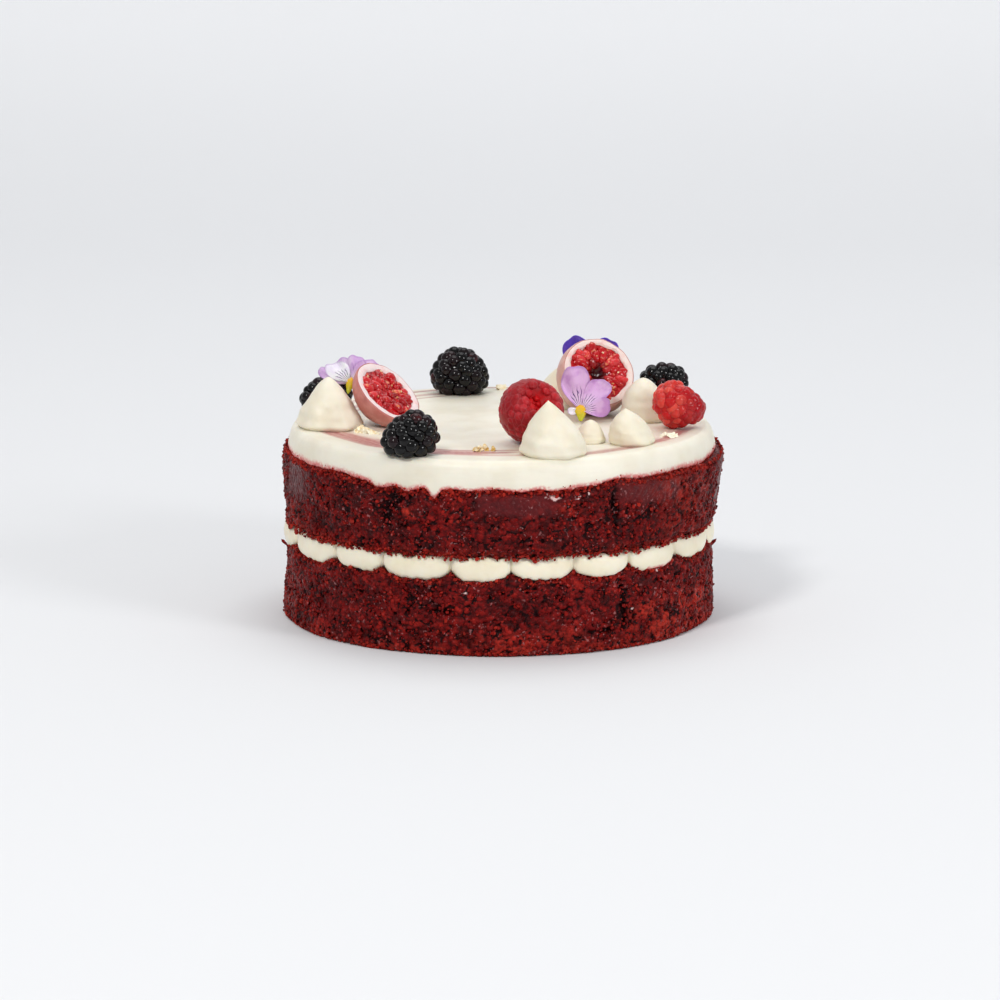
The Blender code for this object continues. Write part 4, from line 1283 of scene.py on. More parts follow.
@dataclass(frozen=True)
class Frosting:
    """The cream on top: a soft-edged slab with pink strokes, gold leaf and a red crumbed foot."""

    columns: int = 760
    centre_x: float = 0.0009
    inner_radius: float = 0.0735
    inner_height: float = 0.0613
    seam_radius: float = 0.0778
    bulge: float = 0.0006
    bulge_rise: float = 0.0016
    side: tuple[tuple[float, float], ...] = ((0.0776, 0.0672), (0.0766, 0.0694), (0.075, FROSTING_TOP))
    rim_radius: float = 0.0735
    stroke_limit: float = 0.052
    side_rows: int = 30
    stroke_rows: int = 66
    strokes: tuple[Stroke, ...] = (
        Stroke(-110.0, 6.0, 0.0618, 0.0606, 0.0052, 0.66, 0.2),
        Stroke(-88.0, -14.0, 0.0662, 0.065, 0.0016, 0.92, 0.65),
        Stroke(-82.0, -4.0, 0.0632, 0.0627, 0.0013, 0.95, 0.85),
        Stroke(-74.0, 10.0, 0.0601, 0.0599, 0.0016, 0.95, 0.8),
        Stroke(-56.0, 18.0, 0.0573, 0.0562, 0.0008, 0.95, 1.00),
        Stroke(-22.0, 18.0, 0.0641, 0.0655, 0.0014, 0.6, 0.1),
        Stroke(18.0, 50.0, 0.0692, 0.067, 0.0027, 0.95, 0.7),
        Stroke(46.0, 84.0, 0.0648, 0.0702, 0.0021, 0.9, 0.7),
        Stroke(50.0, 104.0, 0.0668, 0.068, 0.0048, 0.42, 0.1),
        Stroke(92.0, 132.0, 0.069, 0.07, 0.0012, 0.55, 0.45),
        Stroke(140.0, 190.0, 0.0718, 0.0722, 0.0012, 0.95, 1.00),
        Stroke(186.0, 236.0, 0.0722, 0.07, 0.0013, 0.95, 0.9),
        Stroke(186.0, 286.0, 0.064, 0.064, 0.002, 0.8, 0.6),
        Stroke(196.0, 276.0, 0.0585, 0.06, 0.0009, 0.8, 0.8),
        Stroke(232.0, 280.0, 0.069, 0.067, 0.0012, 0.5, 0.3),
    )
    flakes: tuple[tuple[float, float, float, float, float, float], ...] = (
        (-0.0497, -0.0222, 0.005, 20.0, 38.0, 0.6), (-0.0452, -0.0238, 0.0046, -12.0, 24.0, 0.75),
        (-0.0083, -0.0566, 0.0044, 8.0, 30.0, 0.45), (-0.003, -0.0562, 0.004, -25.0, 42.0, 0.25),
        (0.0005, 0.0688, 0.005, 15.0, 40.0, 0.75), (0.0055, 0.069, 0.0036, -35.0, 28.0, 0.7),
        (0.0622, -0.029, 0.0058, 12.0, 26.0, 1.00),
    )
    edge_crumbs: int = 1500
    fold: float = 0.00045
    leaf: float = 0.00006
    ridge_radius: float = 0.0716
    ripple: float = 0.0009
    comb_step: float = 0.0019
    stain_reach: float = 0.0013

    def profile(self, foot: Array) -> tuple[Array, Array]:
        """Radii and heights up the side, as (rows, columns).

        Args:
            foot: Heights of the frosting's lower edge.

        Returns:
            A smooth curve through the foot, the bulge and the named points of the side, each
            span a cubic whose slopes come from the neighbours on both sides.
        """
        flat = np.ones_like(foot)
        knots = [(self.inner_radius * flat, self.inner_height * flat), (self.seam_radius * flat, foot),
                 ((self.seam_radius + self.bulge) * flat, foot + self.bulge_rise)]
        knots += [(radius * flat, height * flat) for radius, height in self.side]
        knots.append((self.rim_radius * flat, FROSTING_TOP * flat))
        table = np.array(knots)
        spans = len(knots) - 3
        at = np.linspace(0.0, spans - 1e-9, self.side_rows)
        span = at.astype(int)
        s = (at - span)[:, None, None]
        before, here, after, beyond = (table[span + k] for k in range(4))
        curve = 0.5 * (2.0 * here + (after - before) * s
                       + (2.0 * before - 5.0 * here + 4.0 * after - beyond) * s ** 2
                       + (3.0 * here - before - 3.0 * after + beyond) * s ** 3)
        return curve[:, 0], curve[:, 1]

    def surface(self, plan: CakePlan) -> Surface:
        """Builds the slab: closed under it, up the side and over the top to the middle."""
        degrees = np.arange(self.columns) * 360.0 / self.columns - 180.0
        ring = on_ring(degrees, self.seam_radius, 0.0)
        foot = plan.foot_of_frosting(degrees) + 0.00028 * soft_noise(ring, 0.0019, 77, 2)
        radii, heights = self.profile(foot)
        flat = np.ones_like(degrees)
        top = np.concatenate([np.linspace(self.side[-1][0], self.stroke_limit, self.stroke_rows)[1:],
                              np.linspace(self.stroke_limit, 0.002, 14)[1:]])[:, None] * flat
        radii = np.concatenate([[0.3 * self.inner_radius * flat, self.inner_radius * flat], radii, top])
        heights = np.concatenate([[self.inner_height * flat, self.inner_height * flat], heights,
                                  FROSTING_TOP * np.ones_like(top)])
        grid = np.broadcast_to(degrees, radii.shape)
        stroke, depth = self.stroke_marks(grid, radii, heights)
        place = on_ring(grid, radii, heights)
        slow = soft_noise(place, 0.02, 71, 2)
        quick = soft_noise(place * np.array([1.0, 1.0, 0.5]), 0.0048, 73, 2)
        level = smooth((heights - 0.0695) / 0.001)
        ridge = np.exp(-((radii - self.ridge_radius) / 0.0016) ** 2)
        heights = heights + level * (0.0001 * slow + 0.00003 * quick - 0.00016 * stroke)
        heights = heights + level * 0.00012 * ridge
        side = (1.0 - level) * smooth((heights - foot) / 0.0008)
        radii = radii + side * (0.0002 * slow + 0.00007 * quick)
        above = np.maximum(heights - plan.foot_of_frosting(degrees), 0.0)
        reach = self.stain_reach * (1.0 + 0.35 * soft_noise(place, 0.0052, 75))
        reach = reach * (1.0 + 0.35 * smooth((np.abs(grid) - 22.0) / 26.0))
        stain = np.exp(-(above / reach) ** 1.5) * (radii > 0.076)
        rows = on_ring(grid, radii, heights, self.centre_x)
        return woven(rows, {"stroke": stroke, "depth": depth, "stain": stain})

    def stroke_marks(self, degrees: Array, radii: Array, heights: Array) -> tuple[Array, Array]:
        """Works out the strokes in the top.

        Args:
            degrees: Angles.
            radii: Radii.
            heights: Heights, as only the top and its rim have strokes.

        Returns:
            How pink each point is, combed into streaks 2 mm apart, and how dark that pink is.
        """
        pink = np.zeros_like(radii)
        depth = np.zeros_like(radii)
        ripple = self.ripple * soft_noise(0.4 * on_ring(degrees, radii, 0.0), 0.007, 72, 2)
        for stroke in self.strokes:
            weight = stroke.weight(degrees, radii + ripple) * (heights > 0.069)
            depth = depth + weight * stroke.depth
            pink = pink + weight
        comb = 0.5 + 0.5 * np.cos(2.0 * math.pi * (radii + 1.4 * ripple) / self.comb_step)
        pink = pink * (1.0 - 0.36 * comb)
        return np.minimum(pink, 1.0), depth / np.maximum(pink, 1e-6)

    def scrap(self, index: int, part: int) -> Surface:
        """Builds one crumpled scrap of leaf.

        Args:
            index: The flake that it belongs to.
            part: Its number in that flake.

        Returns:
            An oval grid whose outline and folds are thrown about by noise in all three axes.
        """
        x, y, length, spin, tilt, tone = self.flakes[index]
        rng = np.random.default_rng(100 + 10 * index + part)
        reach = length * rng.uniform(0.26, 0.46)
        u, v = np.meshgrid(np.linspace(-1.0, 1.0, 17), np.linspace(-1.0, 1.0, 13), indexing="ij")
        oval = np.stack([u * np.sqrt(1.0 - 0.5 * v * v), v * np.sqrt(1.0 - 0.5 * u * u), 0.0 * u],
                        axis=-1)
        place = oval * np.array([1.0, 0.62, 1.0]) * reach
        folds = np.stack([soft_noise(place + k, 0.0011, 81 + 31 * index + 7 * part + 10 * k, 2)
                          for k in range(3)], axis=-1)
        place = place + folds * self.fold
        azimuth, lean, twist = rng.uniform(-60.0, 60.0), rng.uniform(0.0, 30.0), rng.uniform(-50.0, 50.0)
        place = place @ facing(azimuth, 90.0 - tilt - lean, spin + twist).T
        shift = rng.uniform(-0.32, 0.32, 2) * length
        base = FROSTING_TOP - TOPPING_SINK - place[..., 2].min()
        place = place + np.array([x + 1.4 * shift[0], y + 0.6 * shift[1], base])
        # Tone is the flake's own plus the height of its folds, so the crests come out paler as a painted
        # highlight
        marks = {"tone": tone + 0.35 * folds[..., 2] + rng.uniform(-0.15, 0.15)}
        return woven(place, marks, closed=False, capped=False)

    def foot_crumbs(self, plan: CakePlan) -> Surface:
        """Builds the red crumbs at the frosting's foot.

        Args:
            plan: The cake's plan, which gives the foot's height.

        Returns:
            Rough little balls along the lower edge, and one a little higher at the front.
        """
        rng = np.random.default_rng(91)
        angle = np.append(rng.uniform(-180.0, 180.0, self.edge_crumbs), -2.5)
        rise = np.append(rng.exponential(0.00035, self.edge_crumbs) - 0.0004, 0.0)
        height = plan.foot_of_frosting(angle) + rise
        size = np.clip(rng.lognormal(math.log(0.0003), 0.35, len(angle)), 0.00016, 0.00062)
        size[-1] = 0.00045
        radius = self.seam_radius + self.bulge * np.clip(rise / self.bulge_rise, 0.0, 1.0) + 0.0002
        places = on_ring(angle, radius, height, self.centre_x)
        places[-1, 2] += 0.0013
        marks = crumb_marks(rng.uniform(0.5, 1.2, len(angle)), rng.uniform(0.2, 1.0, len(angle)))
        sizes = size[:, None] * np.array([1.0, 1.0, 0.8])
        return repeated(ball(1), places, sizes, random_turns(len(angle), rng), marks, 0.28, 92)

    def build(self, plan: CakePlan, crumb: Material) -> None:
        """Builds the slab, its gold leaf and the crumbs at its foot.

        Args:
            plan: The cake's plan.
            crumb: The sponge's material, for the crumbs.
        """
        slab = self.surface(plan).build("frosting_slab", FrostingFinish().material())
        dressed(slab, Slot.FROSTING, "frosting")
        # Gold leaf runs from gold to a pale painted reflection by its tone
        gold = SpotFinish("gold_leaf", colour("e2b95e"), colour("fbf4dc"), 0.32, 0.1, 0.0009)
        scraps = [self.scrap(index, part) for index in range(len(self.flakes)) for part in range(3)]
        leaf = joined(scraps).build("gold_leaf", gold.material())
        wall = leaf.modifiers.new("thickness", "SOLIDIFY")
        wall.thickness = self.leaf
        wall.offset = 0.0
        dressed(leaf, Slot.FROSTING, "frosting")
        crumbs = self.foot_crumbs(plan).build("frosting_foot_crumbs", crumb, 30.0)
        dressed(crumbs, Slot.CRUMB, "frosting")


@dataclass(frozen=True)
class Dollop:
    """A piped dollop of cream, full at its foot and drawn up to a tip."""

    node: str
    x: float
    y: float
    radius: float
    height: float
    lean: float
    fullness: float
    bluntness: float
    seed: int
    uneven: float = 0.055
    columns: int = 88
    rows: int = 60
    foot_share: float = 0.84
    foot_height: float = 0.12
    tip: float = 0.00012

    def surface(self) -> Surface:
        """Builds the dollop.

        Returns:
            A closed turned shape, whose radius is the foot's times (1 - share ** fullness) **
            bluntness, with a tucked foot, faint rings from the nozzle and slow unevenness.
        """
        turn = np.arange(self.columns) * 2.0 * math.pi / self.columns
        share = (np.linspace(0.0, 1.0, self.rows) ** 0.9)[:, None]
        tuck = self.foot_share + (1.0 - self.foot_share) * np.sin(
            0.5 * math.pi * np.minimum(share / self.foot_height, 1.0))
        reach = tuck * (1.0 - share ** self.fullness) ** self.bluntness * self.radius
        reach = np.maximum(reach, self.tip)
        x, y = reach * np.cos(turn), reach * np.sin(turn)
        z = share * self.height * np.ones_like(turn)
        slow = soft_noise(np.stack([x, y, z], axis=-1), 0.35 * self.radius + 0.002, self.seed, 2)
        spiral = np.sin(2.0 * math.pi * (4.2 * share) + turn + self.seed)
        grow = 1.0 + self.uneven * slow + 0.016 * spiral * (1.0 - share)
        bend = self.lean * share ** 1.5
        return woven(np.stack([x * grow + bend, y * grow, z], axis=-1), {"stain": np.zeros_like(z)})

    def build(self, finish: Material) -> None:
        """Builds the dollop on the frosting."""
        placed = self.surface().settled(np.eye(3), self.x, self.y)
        dressed(placed.build(self.node + "_piped", finish), Slot.PIPED, self.node)


def egg(points: Array, radii: Triple, taper: float, lean: float) -> Array:
    """Shapes a unit ball into a fruit.

    Args:
        points: Places on or near the ball (N, 3).
        radii: The fruit's three radii.
        taper: Share by which it narrows towards its top.
        lean: Sideways shift of its top.

    Returns:
        The points scaled by the radii, with each level's width times 1 - taper * level.
    """
    level = points[:, 2]
    width = 1.0 - taper * level
    return np.stack([points[:, 0] * radii[0] * width + lean * level, points[:, 1] * radii[1] * width,
                     level * radii[2]], axis=-1)


@dataclass(frozen=True)
class DrupeletFruit:
    """A fruit of many small beads round a core, such as a bramble or a raspberry."""

    node: str
    x: float
    y: float
    radii: Triple
    taper: float
    lean: float
    foot: float
    turn: tuple[float, ...]
    beads: int
    seed: int
    slot: Slot
    crown: float = 1.08
    bead_width: float = 0.57
    bead_height: float = 0.62
    jitter: float = 0.07
    core: float = 0.9
    hollow: tuple[float, float] | None = None
    torn: tuple[float, float, float, float] | None = None
    rugged: float = 0.0
    special: tuple[tuple[float, float, float, float], ...] = ()

    def directions(self) -> Array:
        """Spreads directions evenly round a ball.

        Returns:
            Unit directions (beads, 3): equal steps in height, each a golden angle on from the
            last, and each shifted a little.
        """
        rng = np.random.default_rng(self.seed)
        number = np.arange(self.beads)
        level = 1.0 - 2.0 * (number + 0.5) / self.beads
        turn = number * math.pi * (3.0 - math.sqrt(5.0))
        flat = np.sqrt(1.0 - level ** 2)
        aim = np.stack([flat * np.cos(turn), flat * np.sin(turn), level], axis=-1)
        aim += rng.normal(0.0, self.jitter, aim.shape) * math.sqrt(14.5 / self.beads)
        return aim / np.linalg.norm(aim, axis=1, keepdims=True)

    def inward(self, aim: Array) -> Array:
        """Works out the hollow and the tear.

        Args:
            aim: Unit directions (N, 3).

        Returns:
            The share of the radius that is left in each direction.
        """
        left = np.ones(len(aim))
        if self.hollow:
            polar = np.degrees(np.arccos(np.clip(aim[:, 2], -1.0, 1.0)))
            left -= (1.0 - self.hollow[1]) * smooth((self.hollow[0] - polar) / (0.5 * self.hollow[0]))
        if self.torn:
            centre = np.array(self.torn[:3]) / np.linalg.norm(self.torn[:3])
            away = np.degrees(np.arccos(np.clip(aim @ centre, -1.0, 1.0)))
            left -= 0.28 * np.exp(-((away / self.torn[3]) ** 2))
        return left

    def inside_share(self, aim: Array, left: Array) -> Array:
        """How much each place has the inner colour: in the hollow, or towards a torn fruit's tip."""
        if self.torn:
            return 0.85 * smooth((aim[:, 2] + 0.25) / 0.9)
        return smooth((1.0 - left) / 0.35)

    def surface(self) -> Surface:
        """Builds the beads and the core.

        Returns:
            An ellipsoid bead at each direction, whose crown lies on the fruit's outline, and a
            core at a share of the outline that closes the gaps between them. A rugged fruit's
            points are then moved in or out by a share of slow noise, and heights below the foot
            are cut to 15%.
        """
        rng = np.random.default_rng(self.seed + 1)
        aim = self.directions()
        left = self.inward(aim)
        step = math.sqrt(14.5 / self.beads) * float(np.mean(self.radii))
        swollen = rng.uniform(0.86, 1.12, self.beads)
        width = step * self.bead_width * swollen * (0.55 + 0.45 * left)
        height = step * self.bead_height * swollen * (0.55 + 0.45 * left)
        normal = aim / np.array(self.radii)
        normal /= np.linalg.norm(normal, axis=1, keepdims=True)
        reach = self.crown + rng.uniform(-0.02, 0.02, self.beads)
        crowns = egg(aim * (reach * left)[:, None], self.radii, self.taper, self.lean)
        centres = crowns - normal * height[:, None]
        tone = rng.uniform(0.0, 1.0, self.beads)
        inner = self.inside_share(aim, left)
        for x, y, z, value in self.special:
            tone[np.argmax(aim @ np.array([x, y, z]))] = value
        sizes = np.stack([width * 1.04, width, height], axis=-1)
        beads = repeated(ball(3 if self.beads < 120 else 2), centres, sizes, frames_along(normal),
                         {"tone": tone, "inner": inner}, 0.0)
        core = ball(4)
        inside = self.inward(core.points)
        core.marks = {"tone": np.full(len(inside), 0.2), "inner": self.inside_share(core.points, inside)}
        body = core.points * (self.core * inside)[:, None]
        core.points = egg(body, self.radii, self.taper, self.lean)
        whole = joined([beads, core])
        whole.points *= 1.0 + self.rugged * soft_noise(whole.points, 0.0046, self.seed + 2, 2)[:, None]
        floor = -self.foot * self.radii[2]
        low = whole.points[:, 2] < floor
        whole.points[low, 2] = floor + 0.15 * (whole.points[low, 2] - floor)
        return whole

    def build(self, finish: Material) -> None:
        """Builds the fruit on the frosting."""
        placed = self.surface().settled(facing(*self.turn), self.x, self.y)
        dressed(placed.build(self.node + "_beads", finish), self.slot, self.node)


@dataclass(frozen=True)
class FigHalf:
    """Half a small fig, cut face up along its own Z: a skin bowl with a pale ring, and lumpy pulp."""

    node: str
    x: float
    y: float
    wide: float
    deep: float
    drop: float
    pulp: float
    dome: float
    hollow: float
    nub: float
    azimuth: float
    elevation: float
    seed: int
    lumps: int
    lump_size: Triple
    bare: float = 0.0
    hollow_share: float = 0.3
    pulp_drop: float = 0.0006
    columns: int = 144
    seeds_shown: int = 9

    def pulp_height(self, share: Array) -> Array:
        """Height of the pulp at a share of its radius: a low dome less a bell-shaped hollow."""
        hollow = self.hollow * np.exp(-((share / self.hollow_share) ** 2))
        return self.dome * (1.0 - share ** 2) - hollow - self.pulp_drop

    def rind(self) -> Surface:
        """Builds the bowl and the ring.

        Returns:
            A closed wall: outside an ellipsoid of the two radii, drawn out at its lowest point,
            over a softly rounded lip, and inside down and back under the pulp.
        """
        top = 0.5 * math.pi + math.asin(self.drop / self.deep)
        angle = np.linspace(0.02, top, 44)[:, None]
        point = np.maximum(0.0, 1.0 - angle / math.radians(50.0)) ** 2
        turn = np.arange(self.columns) * 2.0 * math.pi / self.columns
        bowl_r = self.wide * np.sin(angle) * np.ones_like(turn)
        bowl_z = (-self.drop - self.deep * np.cos(angle) - self.nub * point) * np.ones_like(turn)
        rim = self.wide * math.sin(top)
        share = np.linspace(0.0, 1.0, 16)[1:, None]
        ring_r = (rim - 0.0001) + (self.pulp - 0.0002 - rim) * share * np.ones_like(turn)
        ring_z = 0.00028 * np.sin(math.pi * share ** 0.8) - 0.0003 * smooth((share - 0.7) / 0.3)
        inner_r = self.pulp * np.array([0.985, 0.96, 0.5, 0.1])[:, None] * np.ones_like(turn)
        inner_z = np.array([-0.001, -0.0022, -0.0048, -0.005])[:, None]
        radii = np.concatenate([bowl_r, ring_r, inner_r])
        heights = np.concatenate([bowl_z, ring_z * np.ones_like(turn), inner_z * np.ones_like(turn)])
        skin = np.concatenate([np.ones_like(angle), 1.0 - smooth(share / 0.22), np.zeros((4, 1))])
        x, y = radii * np.cos(turn), radii * np.sin(turn)
        slow = soft_noise(np.stack([x, y, heights], axis=-1), 0.0045, self.seed, 3)
        ring = np.stack([np.cos(turn), np.sin(turn), 0.0 * turn], axis=-1)
        near_rim = np.exp(-((radii / self.pulp - 1.0) / 0.06) ** 2)
        scallop = soft_noise(ring, 0.24, self.seed + 3, 2) * near_rim
        grow = 1.0 + 0.01 * slow * (radii > self.pulp) - 0.045 * scallop
        rows = np.stack([x * grow, y * grow, heights + 0.00012 * slow], axis=-1)
        return woven(rows, {"skin": np.clip(skin + 0.12 * slow, 0.0, 1.0) * np.ones_like(radii)})

    def flesh(self) -> Surface:
        """Builds the pulp: an uneven disc covered by glossy lumps that point at its middle."""
        rng = np.random.default_rng(self.seed + 5)
        turn = np.arange(self.columns) * 2.0 * math.pi / self.columns
        share = np.linspace(1.0, 0.02, 40)[:, None]
        radii = self.pulp * share * np.ones_like(turn)
        place = np.stack([radii * np.cos(turn), radii * np.sin(turn),
                          self.pulp_height(share) * np.ones_like(turn)], axis=-1)
        rough = soft_noise(place, 0.0016, self.seed + 6, 2)
        place[..., 2] += 0.0003 * rough * np.minimum(1.0, (1.0 - share) / 0.08)
        edge = place[:1] * np.array([0.97, 0.97, 1.0]) - np.array([0.0, 0.0, 0.0012])
        drop = 0.0012 + 1.05 * self.hollow
        floor = place[:1] * np.array([0.45, 0.45, 1.0]) - np.array([0.0, 0.0, drop])
        doubled = np.maximum(np.arange(-2, len(share)), 0)
        marks = {"tone": 0.3 + 0.25 * rough[doubled],
                 "hollow": self.shade(share[doubled] * np.ones_like(turn))}
        base = woven(np.concatenate([floor, edge, place]), marks)
        number = np.arange(self.lumps)
        spot = np.sqrt(self.bare ** 2 + (1.0 - self.bare ** 2) * (number + 0.5) / self.lumps) * 0.93
        angle = number * math.pi * (3.0 - math.sqrt(5.0)) + rng.normal(0.0, 0.08, self.lumps)
        spot = np.clip(spot + rng.normal(0.0, 0.03, self.lumps), 0.05, 0.93)
        along = np.stack([np.cos(angle), np.sin(angle), np.zeros(self.lumps)], axis=-1)
        side = np.stack([-np.sin(angle), np.cos(angle), np.zeros(self.lumps)], axis=-1)
        up = np.broadcast_to(np.array([0.0, 0.0, 1.0]), along.shape)
        slope = (self.pulp_height(spot + 0.01) - self.pulp_height(spot - 0.01)) / (0.02 * self.pulp)
        tilt = along + up * slope[:, None]
        tilt /= np.linalg.norm(tilt, axis=1, keepdims=True)
        turns = np.stack([side, tilt, np.cross(side, tilt)], axis=-1)
        size = np.array(self.lump_size) * rng.uniform(0.6, 1.25, (self.lumps, 1))
        size = size * rng.uniform(0.75, 1.25, (self.lumps, 3))
        size *= (0.6 + 0.4 * np.minimum(spot / 0.5, 1.0))[:, None]
        lift = self.pulp_height(spot) + rng.uniform(-0.0006, 0.0002, self.lumps)
        centres = along * (spot * self.pulp)[:, None] + up * lift[:, None]
        marks = {"tone": rng.beta(1.6, 1.7, self.lumps) + 0.05, "hollow": self.shade(spot)}
        return joined([base, repeated(ball(2), centres, size, turns, marks, 0.13, self.seed)])

    def shade(self, share: Array) -> Array:
        """How much painted shade the hollow puts on the pulp at a share of its radius, more for a deeper
        hollow.
        """
        depth = min(self.hollow / 0.003, 1.0)
        return depth * np.exp(-((share / (1.3 * self.hollow_share)) ** 4))

    def seeds(self) -> Surface:
        """Builds the small pale seeds that show between the lumps."""
        rng = np.random.default_rng(self.seed + 7)
        count = self.seeds_shown
        spot = np.sqrt(rng.uniform(0.1 + 1.6 * self.bare ** 2, 0.86, count))
        angle = rng.uniform(0.0, 2.0 * math.pi, count)
        lift = self.pulp_height(spot) + 0.75 * self.lump_size[2]
        reach = spot * self.pulp
        centres = np.stack([reach * np.cos(angle), reach * np.sin(angle), lift], axis=-1)
        sizes = np.array([0.00052, 0.00038, 0.0003]) * rng.uniform(0.8, 1.3, (count, 1))
        turns = random_turns(count, rng)
        return repeated(ball(2), centres, sizes, turns, {"tone": rng.uniform(0.0, 1.0, count)})

    def build(self, rind: Material, pulp: Material, seed: Material) -> None:
        """Builds the half on the frosting.

        Args:
            rind: The skin's and ring's material.
            pulp: The pulp's material.
            seed: The seeds' material.
        """
        turn = facing(self.azimuth, self.elevation)
        bowl = self.rind()
        lowest = (bowl.points @ turn.T)[:, 2].min()
        place = (turn, self.x, self.y, FROSTING_TOP - TOPPING_SINK - lowest)
        dressed(bowl.moved(*place).build(self.node + "_rind", rind), Slot.FIG, self.node)
        dressed(self.flesh().moved(*place).build(self.node + "_pulp", pulp), Slot.FIG, self.node)
        dressed(self.seeds().moved(*place).build(self.node + "_seeds", seed), Slot.FIG, self.node)


@dataclass(frozen=True)
class Petal:
    """One petal: its direction, length and half width in degrees, how far it lies forward, its look."""

    direction: float
    length: float
    half_width: float
    forward: float
    finish: PetalFinish
    ruffle: float = 0.0005


@dataclass(frozen=True)
class Viola:
    """A small edible flower: thin petals that fan out from a yellow eye."""

    node: str
    x: float
    y: float
    z: float
    azimuth: float
    elevation: float
    cup: float
    slot: Slot
    petals: tuple[Petal, ...]
    eye: Triple
    wave: float = 0.0011
    wave_reach: float = 0.008
    waves: int = 5
    thickness: float = 0.00022

    def petal_surface(self, petal: Petal, number: int) -> Surface:
        """Builds one petal as an open sheet.

        Args:
            petal: The petal.
            number: Its place in the flower, which picks its ruffle.

        Returns:
            A fan: the reach at each angle is the length times the root of the cosine across the
            petal, and the height is the cup times the radius squared plus slow and fine waves.
        """
        steps = np.linspace(0.04, 1.0, 34), np.linspace(-1.0, 1.0, 41)
        along, across = np.meshgrid(*steps, indexing="ij")
        angle = np.radians(petal.direction + petal.half_width * across)
        round_end = np.sqrt(np.cos(0.5 * math.pi * np.clip(np.abs(across), 0.0, 0.995)))
        reach = petal.length * (0.1 + 0.9 * round_end)
        notch = 1.0 - 0.05 * np.exp(-((across / 0.16) ** 2))
        radius = reach * notch * along
        slow = self.wave * np.sin(self.waves * angle) * np.minimum(radius / self.wave_reach, 1.2) ** 2
        fine = petal.ruffle * np.sin(across * 9.0 + number * 1.7) * along ** 3
        curl = 0.0006 * along ** 3 * np.cos(across * 2.2)
        height = self.cup * radius ** 2 + slow + fine + curl + petal.forward * smooth(along / 0.35)
        rows = np.stack([radius * np.cos(angle), radius * np.sin(angle), height], axis=-1)
        return woven(rows, {"along": along, "across": across}, closed=False, capped=False)

    def eye_surface(self) -> Surface:
        """Builds the eye.

        Returns:
            A ball of the eye's three half sizes, narrower towards its foot and a little uneven.
        """
        shape = ball(4)
        _, length, depth = self.eye
        level = shape.points[:, 1]
        narrow = 1.0 - 0.45 * smooth((0.3 - level) / 1.3)
        shape.marks = {"tone": 0.5 + 0.5 * level}
        place = shape.points * np.array(self.eye) * np.stack([narrow, 0 * level + 1, narrow], axis=-1)
        place += np.array([0.0, -0.35 * length, 0.35 * depth])
        shape.points = place * (1.0 + 0.1 * soft_noise(place, 0.0008, 97, 2)[:, None])
        return shape

    def build(self, eye_finish: Material, finishes: dict[str, Material]) -> None:
        """Builds the petals and the eye.

        Args:
            eye_finish: The eye's material.
            finishes: The petals' materials by name.
        """
        turn = facing(self.azimuth, self.elevation)
        for number, petal in enumerate(self.petals):
            surface = self.petal_surface(petal, number).moved(turn, self.x, self.y, self.z)
            sheet = surface.build(f"{self.node}_petal_{number}", finishes[petal.finish.name])
            wall = sheet.modifiers.new("thickness", "SOLIDIFY")
            wall.thickness = self.thickness
            wall.offset = 0.0
            dressed(sheet, self.slot, self.node)
        eye = self.eye_surface().moved(turn, self.x, self.y, self.z)
        dressed(eye.build(self.node + "_eye", eye_finish), self.slot, self.node)


@dataclass(frozen=True)
class Lamp:
    """A square soft light that looks at the cake's middle."""

    name: str
    place: Triple
    size: float
    power: float
    tint: Colour = (1.0, 1.0, 1.0)
    aim: Triple = (0.0, 0.0, 0.04)

    def build(self) -> None:
        """Adds the light."""
        lamp = bpy.data.lights.new(self.name, "AREA")
        lamp.shape = "SQUARE"
        lamp.size = self.size
        lamp.energy = self.power
        lamp.color = self.tint
        holder = bpy.data.objects.new(self.name, lamp)
        holder.location = self.place
        aim = Vector(self.aim) - Vector(self.place)
        holder.rotation_euler = aim.to_track_quat("-Z", "Y").to_euler()
        bpy.context.scene.collection.objects.link(holder)


